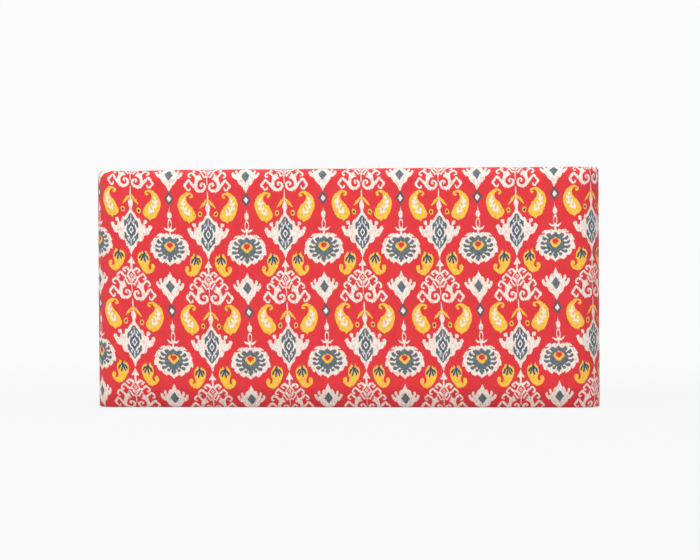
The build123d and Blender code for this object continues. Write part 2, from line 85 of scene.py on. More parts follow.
class BenchSizes(bpy.types.PropertyGroup):
    """The covered block."""

    length: length_value("Length", "Length of the bench", COVER_HIGH.x - COVER_LOW.x)
    depth: length_value("Depth", "Depth of the bench", COVER_HIGH.y - COVER_LOW.y)
    crown: length_value("Seat crown", "How far the middle of the seat stands above its edges", 0.006)
    corner: length_value("Corner rounding", "Radius of the upright corners", 0.052)
    seat_edge: length_value("Seat edge", "Radius of the seat's front and back edges", 0.022)
    end_edge: length_value("End edge", "Radius of the seat's edges above the ends", 0.006)
    foot_round: length_value("Foot rounding", "Radius at which front and back turn in above the foot", 0.060)
    foot_flat: length_value("Foot flat", "Straight run between that and the bottom edge", 0.0134)
    foot_tilt: FloatProperty(
        name="Foot tilt", description="Lean of the straight run", default=math.radians(28), subtype="ANGLE"
    )
    bottom_edge: length_value("Bottom edge", "Radius of the bottom edges at front and back", 0.0113)
    end_low: length_value("End bottom edge", "Radius of the bottom edges at the ends", 0.002)
    hem_in: length_value("Hem", "How far the cover runs in under the bench", 0.047)
    seam_step: length_value("Seam step", "From the end of a corner rounding to the end panel's seam", 0.016)
    seam_drop: length_value("Seam drop", "From the seat's edge down to the end panel's seam", 0.018)
    seam_depth: length_value("Seam depth", "How deep a seam is drawn in", 0.0005)
    bulge: length_value("Bulge", "How far front and back swell at their middle", 0.0016)
    skew: length_value("Skew", "How far the seat's edge stands to the left of the middle of the wall", 0.0004)
    cloth_step: length_value("Cloth mesh", "Spacing of the cover's mesh", 0.0026)
    front_step: length_value("Front mesh", "Spacing of the cover's mesh on the front", 0.0015)


class PrintSizes(bpy.types.PropertyGroup):
    """How the print lies on the cloth."""

    across: length_value("Repeat across", "Width of one repeat", 0.1475)
    along: length_value("Repeat along", "Height of one repeat", 0.2141)
    start_across: length_value("Start across", "From the middle of the front to a tree column", 0.0354)
    start_up: length_value("Start up", "From the floor to the foot of a tree", 0.2030)
    bow_middle: length_value("Bow middle", "Where the columns stand furthest to the right", -0.114)
    top_lean: length_value("Top lean", "How far the columns wander to the left by the seat's edge", 0.0028)
    lean: length_value("Lean", "How far the columns wander to the right towards the bottom", 0.0068)
    lean_height: length_value("Lean height", "Where the columns start to wander", 0.240)
    lean_reach: length_value("Lean reach", "How soon below that they have wandered two thirds", 0.085)
    middle_lift: length_value("Middle lift", "How far the rows rise in the middle", 0.0038)
    middle_reach: length_value("Middle reach", "How far from the middle they have sunk by two thirds", 0.130)
    left_lift: length_value("Left lift", "How far the rows rise by the left corner", 0.0192)
    left_reach: length_value("Left reach", "How far from the left corner the rows start to rise", 0.2225)
    right_lift: length_value("Right lift", "How far the rows rise by the right corner", 0.0123)


class ClothColours(bpy.types.PropertyGroup):
    """Inks of the print."""

    red: colour_value("Red", "Ground of the print", "E5393F")
    deep_red: colour_value("Deep red", "Darker threads in the ground", "D42F38")
    cream: colour_value("Cream", "Trees, pendants and medallions", "F8EEE4")
    salmon: colour_value("Salmon", "Streaks where red shows through the cream", "EDBBAA")
    grey: colour_value("Grey", "Flowers, small diamonds and pendants' hearts", "6A767B")
    slate: colour_value("Slate", "Rings, and darker threads in the grey", "4A5B63")
    gold: colour_value("Gold", "Boots, paisleys, leaves and hearts", "FFCD4E")
    orange: colour_value("Orange", "Streaks in the gold", "F9AC44")
    navy: colour_value("Navy", "Sprigs on the boots, and dots beside the stems", "1D4C6C")
    lilac: colour_value("Lilac", "Sprigs on the paisleys and strokes in the pendants", "F4EDF3")
    pink: colour_value("Pink", "Short strokes in the trees and pendants", "F2999A")


class StudioValues(bpy.types.PropertyGroup):
    """Camera and light."""

    focal: FloatProperty(
        name="Focal length", description="Lens on a 36 mm sensor", default=102.18, unit="CAMERA"
    )
    sky: FloatProperty(name="Sky", description="Strength of the even light all round", default=0.575)
    key: FloatProperty(
        name="Key", description="Power of the large lamp above the front", default=118.0, unit="POWER"
    )
    fill: FloatProperty(
        name="Fill", description="Power of the two lamps beside the camera", default=13.0, unit="POWER"
    )


# The print, drawn as (across, down) in units of 1/77 of the repeat: across from the middle
# of a column, down from the top of a boot. Every motif is mirrored about its column. Inks are
# printed in turn.

CELL = 77.0  # width of one repeat
FOOT = 50.0  # from the top of a boot down to the foot of the tree
FAR = 4.0  # distances count up to this
CREAM, GREY, GOLD, NAVY, PALE, SLATE, GROUND, PINK = range(8)


def rounded_path(points, closed):
    """A Catmull-Rom curve through the points, in four steps a span."""
    p = np.asarray(points, float)
    ends = (p[-1:], p[:2]) if closed else (2 * p[:1] - p[1:2], 2 * p[-1:] - p[-2:-1])
    p = np.vstack([ends[0], p, ends[1]])
    t = np.linspace(0, 1, 4, endpoint=False)[None, :, None]
    a, b, c, d = (part[:, None] for part in (p[:-3], p[1:-2], p[2:-1], p[3:]))
    curve = 2 * b + (c - a) * t + (2 * a - 5 * b + 4 * c - d) * t**2 + (3 * b - a - 3 * c + d) * t**3
    curve = curve.reshape(-1, p.shape[1]) / 2
    return curve if closed else np.vstack([curve, p[-2]])


def nearest_on_runs(u, v, start, end):
    """Distance from each place to each straight run, and how far along the run that is."""
    along_u, along_v = end[:, 0] - start[:, 0], end[:, 1] - start[:, 1]
    to_u, to_v = u[..., None] - start[:, 0], v[..., None] - start[:, 1]
    share = np.clip((to_u * along_u + to_v * along_v) / (along_u**2 + along_v**2 + 1e-9), 0, 1)
    return np.hypot(to_u - share * along_u, to_v - share * along_v), share


def patch(*points, soft=False):
    """A closed outline: distance to its edge, negative where a ray crosses it an odd number of times."""
    edge = rounded_path(points, True) if soft else np.asarray(points, float)
    start, end = edge, np.roll(edge, -1, axis=0)

    def reach(u, v):
        u, v = np.broadcast_arrays(u, v)
        gap = nearest_on_runs(u, v, start, end)[0].min(axis=-1)
        level = (start[:, 1] > v[..., None]) != (end[:, 1] > v[..., None])
        rise = end[:, 1] - start[:, 1]
        rise = np.where(rise == 0, 1.0, rise)
        cross = start[:, 0] + (v[..., None] - start[:, 1]) * (end[:, 0] - start[:, 0]) / rise
        inside = (level & (u[..., None] < cross)).sum(axis=-1) % 2 == 1
        return np.where(inside, -gap, gap)

    return reach, (*edge.min(axis=0), *edge.max(axis=0))


def twin(*points):
    """A closed outline that crosses its column: the right side, from top to bottom, and its mirror."""
    left = [(-u, v) for u, v in points[::-1] if u > 0]
    return patch(*points, *left)


def stroke(*points, soft=True):
    """A line through (across, down, half width): distance to the line less its half width there."""
    path = rounded_path(points, False) if soft else np.asarray(points, float)
    start, end = path[:-1], path[1:]

    def reach(u, v):
        u, v = np.broadcast_arrays(u, v)
        gap, share = nearest_on_runs(u, v, start, end)
        return (gap - start[:, 2] - share * (end[:, 2] - start[:, 2])).min(axis=-1)

    return reach, (*path[:, :2].min(axis=0), *path[:, :2].max(axis=0))


def bar(*points):
    """A line of straight runs through (across, down, half width)."""
    return stroke(*points, soft=False)


def diamond(down, half_u, half_v):
    """A rhombus on the column: |u| / half_u + |v| / half_v - 1, scaled to a distance."""
    scale = 1 / math.hypot(1 / half_u, 1 / half_v)

    def reach(u, v):
        return (np.abs(u) / half_u + np.abs(v - down) / half_v - 1) * scale

    return reach, (-half_u, down - half_v, half_u, down + half_v)


def oval(across, down, half_u, half_v):
    """An ellipse: the length of the scaled offset less 1, scaled by the smaller half axis."""

    def reach(u, v):
        return (np.hypot((u - across) / half_u, (v - down) / half_v) - 1) * min(half_u, half_v)

    return reach, (across - half_u, down - half_v, across + half_u, down + half_v)


def ring(shape, half_width):
    """The band along a shape's edge."""
    inner, box = shape
    return (lambda u, v: np.abs(inner(u, v)) - half_width), box


TREE = (
    # arrow and crown, then each branch from the top down
    (CREAM,
        twin((0, 6.2), (1.2, 9.8), (2.4, 11.8), (4, 14), (3.1, 15.4), (1.5, 14.7), (1.15, 15.3),
            (1.15, 22), (0, 24)),
        twin((0, 21.4), (1.2, 21.4), (3.1, 23.4), (4.6, 25.8), (5.6, 28.2), (7, 30.4), (8.2, 33),
            (6.4, 35.6), (4.4, 38.2), (3.7, 36.8), (3.2, 37.4), (1.5, 35.6), (0.6, 36.8), (0.6, 43.6),
            (0, 44)),
        stroke((0.8, 22.3, 1.2), (2.6, 21.4, 1.5), (4.2, 20, 1.5), (5.4, 19.3, 1), (7, 20.5, 1.1),
            (8.4, 21.7, 1)),
        stroke((8.4, 21.7, 0.9), (7.4, 22.8, 0.9), (6.3, 23.2, 1.1)),
        stroke((5.4, 29, 1.3), (8.2, 26.9, 1.2), (9.8, 25.4, 1.3), (11.1, 24.6, 1.1), (13.2, 26.4, 1.1),
            (14.1, 28, 1), (13.4, 29.6, 1), (12.2, 29.8, 1.1)),
        stroke((8.8, 37.4, 1.7), (11.4, 34.9, 1.3), (13.5, 32.6, 1.3), (15.6, 31, 1.1), (17.6, 32.7, 1.2),
            (18.6, 34.4, 1), (18, 36, 1), (16.7, 36.4, 1.1)),
        patch((6.6, 30.6), (8.6, 33.6), (10.4, 34.4), (12, 36.6), (12.4, 39.6), (13.2, 43), (12.6, 46.2),
            (11, 47.4), (9.6, 45), (9.4, 42.2), (7.4, 39.6), (5, 38.8), (4.4, 38.4), (6.8, 35)),
        stroke((12.2, 46.2, 1.9), (14.8, 43.4, 1.5), (16.8, 41, 1.4), (18.5, 39.6, 1.3), (20.6, 42.2, 1.4),
            (22.6, 45, 1.4), (20.9, 47.6, 1.2), (19.2, 49.5, 1.1), (17.5, 48.8, 1), (17, 47, 0.8))),
    # root, curled in beside the stalk, and its fringe
    (CREAM,
        stroke((11.6, 44.6, 1.7), (11, 47.6, 2.1), (8.6, 49.4, 1.8), (5.4, 49.6, 1.6), (2.8, 47.8, 1.5),
            (2.1, 45, 1.4), (3.2, 42.9, 1.2), (5.2, 42.3, 1.1), (6.5, 43.7, 1.1), (5.5, 45, 0.9)),
        bar((8, 50, 0.8), (8.2, 52.6, 0.3)), bar((10.4, 49, 0.8), (10.8, 51.8, 0.3))),
    (GROUND,
        ring(diamond(26.6, 2.6, 3.3), 0.55), diamond(26.6, 0.7, 0.9), bar((4.8, 29.6, 0.6), (2, 33.8, 0.8)),
        bar((6.6, 32.6, 0.7), (3.6, 37.6, 0.8))),
    (PINK, bar((0, 29.9, 0.7), (0, 34.4, 0.9))),
    # boots
    (GOLD,
        patch((6.6, 5.6), (7.4, 4.4), (8.4, 2.4), (9.4, 3.4), (10.8, 1), (11.8, 2.6), (13.2, 2),
            (15.2, 0.8), (16.2, 3), (17.6, 4.8), (18.3, 7.4), (18.3, 11), (17.3, 14), (17.1, 16.6),
            (18.2, 18.6), (19.8, 18.5), (19.3, 16.6), (19.4, 14.6), (20.8, 13.4), (22.6, 14), (23.6, 16.2),
            (23.1, 19), (21.2, 21.6), (18.2, 23.4), (15, 23.6), (12.4, 22), (10.2, 19), (8.3, 16), (7, 13),
            (6.3, 9), soft=True)),
    (NAVY,
        bar((12.7, 2.4, 0.5), (12.9, 4.5, 1.4)), stroke((13.8, 5, 0.5), (15.6, 7.2, 1), (16.6, 9.9, 0.7)),
        stroke((12.9, 6, 0.5), (13.2, 9, 0.85), (13.8, 11.8, 0.75)),
        stroke((11.9, 6, 0.5), (10.8, 8.6, 0.8), (9.8, 10.9, 0.75)),
        stroke((11.4, 5, 0.5), (9.6, 6.2, 0.9), (8.3, 8.6, 0.75))),
    # stem with its pair of leaves and dots
    (CREAM, bar((0, 50, 0.5), (0, 54, 0.8), (0, 61, 0.9))),
    (GOLD,
        stroke((0, 58.4, 0.8), (2, 60.2, 1.2), (4.6, 63.4, 1.35), (7.6, 66.9, 0.5)), oval(7.9, 73, 2.2, 3)),
    (NAVY, oval(7.9, 73.1, 1.1, 1.4)),
    # bud and pendant
    (CREAM,
        twin((0, 60.5), (1.2, 62), (2.3, 64.2), (2.7, 66.6), (2.1, 69), (1.4, 71), (1.5, 73), (2.6, 75),
            (4, 76.6), (5.2, 78.6), (6.6, 80.6), (8.6, 80.4), (9.8, 83), (10.2, 85.8), (12, 86.4),
            (14, 86.6), (14.6, 90.4), (16.8, 89.6), (17, 87), (19.8, 86.8), (21.2, 89), (20.2, 91.2),
            (19, 94), (17.4, 96.8), (14.6, 97.8), (12.8, 98.4), (12.2, 101), (11, 103.3), (8.8, 104.2),
            (6.8, 104.2), (5.9, 106.6), (5.4, 109), (3.6, 110.4), (2.4, 112.4), (1.6, 114.6), (0.9, 117),
            (0, 119)),
        patch((12.2, 87), (12.3, 82.6), (13.4, 81.8), (15.6, 82.2), (16.1, 84), (15.2, 85.8), (13.8, 86.2),
            soft=True)),
    (GREY,
        twin((0, 76.8), (1.2, 77.2), (2.7, 79.6), (3.8, 82), (6.9, 84.6), (7, 90.2), (5.4, 90.6),
            (4.7, 91.6), (4.7, 95), (5.6, 95.8), (7, 96.2), (6.9, 101), (5, 103.8), (2.6, 107), (0, 110))),
    (SLATE,
        ring(diamond(93.3, 3.6, 5.7), 0.6), oval(0, 93.3, 0.8, 1.8),
        bar((6.2, 86.4, 0.4), (6.2, 89.4, 0.5)), bar((6.2, 97, 0.5), (6, 100.4, 0.4))),
    (PALE,
        ring(diamond(93.3, 2.1, 3.6), 0.5), bar((0, 81.2, 0.4), (0, 84.8, 0.4)),
        bar((2.8, 82.8, 0.35), (3.3, 84.6, 0.5)), bar((1.5, 85, 0.5), (2.6, 88, 0.65)),
        bar((4.3, 87.8, 0.5), (5, 90.8, 0.75)), bar((5, 95.6, 0.75), (3.9, 98.6, 0.55)),
        bar((2.6, 98.6, 0.6), (1.6, 101.6, 0.55)), bar((3.4, 101.4, 0.5), (2.6, 104, 0.4)),
        bar((0, 102.2, 0.5), (0, 107.6, 0.4))),
    (PINK, bar((0, 78.9, 0.5), (0, 81, 0.5))),
    # paisley with its sprig
    (GOLD,
        patch((17.6, 52), (19.8, 51.2), (22, 52), (24.4, 53.6), (26.8, 55.6), (28.8, 58.6), (29.9, 62.4),
            (30, 66.6), (29, 70.6), (27.4, 74.2), (25.6, 77.6), (23.4, 79.8), (20.8, 80.6), (19, 82.2),
            (17.2, 80.6), (14.6, 79.4), (12.6, 77.2), (11.9, 74.4), (12.8, 71.4), (14.6, 68.2), (16, 65.6),
            (18.6, 63.2), (20.6, 60.6), (21.2, 58), (20.6, 55.8), (19, 54.2), soft=True),
        stroke((19.4, 52.8, 1.3), (17, 52.9, 1), (15.3, 54, 1), (15.2, 55.6, 1.1)),
        oval(16.4, 56.2, 1.5, 1.4)),
    (PALE,
        bar((23.2, 57.8, 0.5), (24.1, 60.2, 1)),
        stroke((24.2, 59.6, 0.5), (24.5, 64, 0.5), (23.6, 68.4, 0.5), (21.6, 71.8, 0.5), (18.8, 73.8, 0.6)),
        bar((26.4, 61.6, 0.6), (25.6, 63.4, 1), (24.5, 65, 0.7)), bar((22.2, 62.6, 0.7), (24.4, 64.2, 0.7)),
        bar((26.2, 66.9, 0.7), (25, 68, 1), (23.4, 68.8, 0.6)), bar((21, 66.6, 0.8), (22, 68.8, 0.7)),
        bar((18.6, 69.4, 0.8), (18.9, 74, 0.9)), bar((23, 72.2, 0.8), (21, 73.4, 0.8), (19, 73, 0.8))),
)

MEDALLION = (
    # small diamond above
    (CREAM,
        twin((0, 19), (0.9, 21.4), (1.8, 23.2), (2.8, 25.4), (4.8, 25.8), (6.2, 28), (6.6, 30.4),
            (8.6, 31.4), (10, 33.6), (11, 32.8), (13.8, 33.4), (12.7, 36.2), (11, 38.2), (8.8, 38.8),
            (8, 41), (6.8, 43.2), (5, 44.6), (3.4, 46.2), (2, 48.8), (1.1, 50.8), (0, 53)),
        stroke((8.6, 31.8, 1.2), (9.3, 29.8, 1.5), (9.2, 28.2, 1.2)),
        stroke((12, 34.6, 1.4), (12.6, 32.6, 1.6), (12.7, 31.8, 1.5))),
    (GREY, diamond(35.1, 4.3, 6.4)),
    # ring
    (SLATE, ring(diamond(58.9, 3.9, 5.5), 0.95)),
    (CREAM, diamond(59.2, 2.8, 3.7)),
    # finial
    (CREAM,
        bar((0, 67.4, 0.3), (0, 72, 0.7)), oval(0, 75.4, 2.4, 4), ring(oval(0, 84.8, 1.75, 4.4), 0.6),
        stroke((0.6, 90.2, 1.4), (2.6, 90.4, 1.3), (4.4, 89.4, 1), (6, 87.9, 0.4)),
        bar((0, 89.5, 1), (0, 95, 1.3))),
    # medallion
    (CREAM,
        twin((0, 94.4), (1.9, 94.5), (3.9, 93.4), (6.5, 94.5), (8.2, 93.9), (11.1, 94.7), (12.8, 96),
            (14, 97.8), (15.4, 99), (16.8, 100.4), (17.9, 102.7), (19.5, 105.6), (18.2, 106),
            (19.1, 108.4), (19.9, 110.8), (19.6, 112.4), (19.9, 114.4), (16.8, 114.5), (16.5, 116.6),
            (15.4, 118.6), (13.6, 120.1), (11.9, 119.4), (11.2, 121.2), (9.4, 123), (7, 124.4),
            (5.4, 122.5), (2.6, 124.2), (0, 126.5))),
    (GROUND, bar((10.8, 97.8, 0.4), (13.8, 98.3, 0.6))),
    # flower, with six petals a side
    (GREY,
        twin((0, 96.5), (1, 97.3), (2.3, 98.7), (3.7, 99.4), (5.2, 98.2), (6.6, 97.8), (8.1, 98.5),
            (8.9, 99.9), (8.3, 101.2), (6.5, 102.6), (7.7, 103.5), (9.9, 101.9), (11.6, 100.1),
            (12.9, 101.4), (12.9, 103.1), (11.1, 104.8), (8.7, 104.5), (8.2, 105.3), (8.9, 106.4),
            (10.8, 106.8), (13.3, 105), (15, 106.4), (14.3, 107.9), (12.2, 108.9), (9.3, 108.3),
            (8.6, 109.3), (9.3, 110.8), (11.4, 110.5), (14.3, 109.8), (15, 111.4), (13.9, 112.8),
            (11.9, 113.6), (9.4, 112.5), (7.9, 112.9), (6.9, 114.8), (8, 114.4), (10.5, 114.2),
            (11.9, 115.6), (11.4, 117.1), (9.9, 118), (8.2, 117.2), (6.6, 116.2), (5.1, 114.6),
            (3.6, 116.4), (4.7, 116.8), (6, 117), (6.8, 118.3), (5.7, 120), (4.3, 119.7), (3.4, 118.2),
            (2.5, 116.9), (1.7, 117.4), (2.7, 119.4), (1.6, 120.6), (0.6, 122.3), (0, 122.6))),
    # heart
    (GOLD,
        twin((0, 101.2), (1, 102.2), (2, 103.2), (3.4, 102.8), (4.8, 104.2), (5.8, 105.6), (5.6, 107.2),
            (3.8, 109.2), (1.9, 111.2), (0, 112.2))),
    (GROUND, twin((0, 103), (1.6, 103.5), (3.2, 104.7), (2.9, 106.2), (1.4, 107.7), (0, 108.8))),
)


def drawn_shapes():
    """Each shape of the print, with its ink and the place of its column."""
    for motifs, axis in ((TREE, 0.0), (MEDALLION, CELL / 2)):
        for ink, *shapes in motifs:
            for shape in shapes:
                yield ink, shape, axis


def drawn_cell(pitch, step=0.25):
    """Distances to the eight layers on half a cell, from a tree column to a medallion column.

    Each layer keeps the least distance of its motifs; a motif is worked out only near itself, once
    for the cell and once for the cell above, into which its lower part runs.
    """
    half = CELL / 2
    across = np.linspace(0, half, round(half / step) + 1)
    down = np.linspace(0, pitch, round(pitch / step), endpoint=False)
    layers = np.full((8, len(down), len(across)), FAR)
    for ink, (reach, (left, top, right, bottom)), axis in drawn_shapes():
        own_u = np.abs(across - axis)
        columns = np.flatnonzero((own_u > left - FAR) & (own_u < right + FAR))
        for own_v in (down, down + pitch):
            rows = np.flatnonzero((own_v > top - FAR) & (own_v < bottom + FAR))
            if len(rows) and len(columns):
                window = np.ix_([ink], rows, columns)
                gap = reach(own_u[None, columns], own_v[rows, None])
                layers[window] = np.minimum(layers[window], gap[None])
    return np.clip(layers, -FAR, FAR)


def lattice_noise(u, v, seed):
    """Value noise from -1 to 1: random corners of a unit lattice, joined by smooth steps.

    The lattice repeats after 97 by 89 corners.
    """
    corners = np.random.default_rng(seed).uniform(-1, 1, (97, 89))
    column, row = np.floor(u).astype(int), np.floor(v).astype(int)
    du, dv = u - column, v - row
    du, dv = du * du * (3 - 2 * du), dv * dv * (3 - 2 * dv)

    def corner(i, j):
        return corners[(column + i) % corners.shape[0], (row + j) % corners.shape[1]]

    low = corner(0, 0) * (1 - du) + corner(1, 0) * du
    high = corner(0, 1) * (1 - du) + corner(1, 1) * du
    return low * (1 - dv) + high * dv


def smooth_step(value):
    """t^2 (3 - 2 t), with t the value kept between 0 and 1."""
    value = np.clip(value, 0, 1)
    return value * value * (3 - 2 * value)


BOW = 0.0194  # how fast the columns bow to the left, in metres per square metre
TOP_LEAN_START, TOP_LEAN_RUN = 0.35, 0.11  # height from which the columns lean to the left, and over how much
LEFT_POWER, RIGHT_POWER = 1.5, 2.2  # how suddenly the rows rise towards either corner
SHIFT_DOWN, SHIFT_ACROSS = 0.3, 0.2  # how far threads slip at most, in drawing units
SLOPE_STEP = 0.0006  # over which the slope of a layer is taken, either way


def ink_layers(layers, cloth):
    """Ink layers, from 0 to 1 with edges at a half, at places on the cloth given in metres.

    A place is turned into drawing units, less the wander of the columns, which bow with the
    square of the distance from bow_middle, and the lift of the rows, a hump in the middle and a
    power of the distance at either side. Threads slip a little, as in ikat: in bundles 2.5 units
    wide and 10 long along the columns, and 5 by 4 across them.
    """
    look = bpy.context.scene.bench_print
    unit = look.across / CELL
    u, v = cloth[:, 0], cloth[:, 1]
    end = bpy.context.scene.bench_sizes.length / 2
    lean = look.lean * (1 - np.exp(-np.maximum(look.lean_height - v, 0) / look.lean_reach))
    lean -= look.top_lean * np.clip((v - TOP_LEAN_START) / TOP_LEAN_RUN, 0, 1)
    bow = -BOW * (np.clip(u, -end, end) - look.bow_middle) ** 2
    lift = look.middle_lift * np.exp(-((u / look.middle_reach) ** 2))
    lift += look.left_lift * np.clip((-u - end + look.left_reach) / look.left_reach, 0, 1) ** LEFT_POWER
    lift += look.right_lift * np.clip(u / end, 0, 1) ** RIGHT_POWER
    across = (u - look.start_across - lean - bow) / unit
    down = FOOT + (look.start_up + lift - v) / unit
    down = down + SHIFT_DOWN * lattice_noise(across / 2.5, down / 10, seed=3)
    across = across + SHIFT_ACROSS * lattice_noise(across / 5, down / 4, seed=4)
    _, rows, columns = layers.shape
    folded = np.abs((across + CELL / 2) % CELL - CELL / 2) / (CELL / 2) * (columns - 1)
    lowered = down / (look.along / unit) % 1 * rows
    column = np.minimum(folded.astype(int), columns - 2)
    row = np.minimum(lowered.astype(int), rows - 1)
    du, dv = folded - column, lowered - row
    below = (row + 1) % rows
    gap = (layers[:, row, column] * (1 - du) + layers[:, row, column + 1] * du) * (1 - dv)
    gap += (layers[:, below, column] * (1 - du) + layers[:, below, column + 1] * du) * dv
    return (0.5 - gap / (2 * FAR)).T


def print_at(layers, cloth):
    """Planes that the shader blends into the print: value = level + across * u + along * v.

    Each carries half the layer's slope, so that lines finer than the mesh aren't lost between
    its points.
    """
    slopes = []
    for step in ((SLOPE_STEP, 0), (0, SLOPE_STEP)):
        rise = ink_layers(layers, cloth + step) - ink_layers(layers, cloth - step)
        slopes.append(rise / (4 * SLOPE_STEP))
    level = ink_layers(layers, cloth) - slopes[0] * cloth[:, :1] - slopes[1] * cloth[:, 1:]
    return level, slopes[0], slopes[1]


# The block's surfaces

FRONT, RIGHT, BACK, LEFT, SEAT = range(5)
SEAM_LINES = np.array([-0.0026, -0.0012, -0.0005, 0, 0.0005, 0.0012, 0.0026])  # mesh lines beside a seam
LEAST_RADIUS = 0.0015  # of an edge of an inner layer
CROWN_MARGIN = 0.008  # level strip of the seat beside the walls
WAVES, WAVE_HEIGHT, WAVE_LENGTHS = 9, 0.00016, (0.07, 0.22)  # slow, flat waves in the cover
END_CALM = 0.8  # how much flatter the waves are on the ends
GROOVE_WIDTH = 0.0016  # from a seam to where its groove is a third as deep
CORNER_SEAM_START, CORNER_SEAM_FADE = 0.3, 0.03  # where on a turn the top seam starts, and its fade


def grid_quads(numbers):
    """Quads of a grid of point numbers, each from its point to the next along, both and the next up."""
    quads = np.stack([numbers[:-1, :-1], numbers[:-1, 1:], numbers[1:, 1:], numbers[1:, :-1]], axis=-1)
    return quads.reshape(-1, 4)


def grid_numbers(shape, border, first):
    """Numbers of a grid's points: its border belongs to the walls, and its inside counts on from first."""
    numbers = np.full(shape, -1)
    numbers[0], numbers[-1], numbers[:, 0], numbers[:, -1] = border
    inner = numbers < 0
    numbers[inner] = first + np.arange(inner.sum())
    return numbers, inner


def spaced(marks, step):
    """Values from the first mark to the last, through every mark, no further apart than step."""
    marks = np.unique(np.round(marks, 7))
    runs = [
        np.linspace(a, b, max(math.ceil((b - a) / step), 1), endpoint=False)
        for a, b in zip(marks[:-1], marks[1:])
    ]
    return np.concatenate(runs + [marks[-1:]])


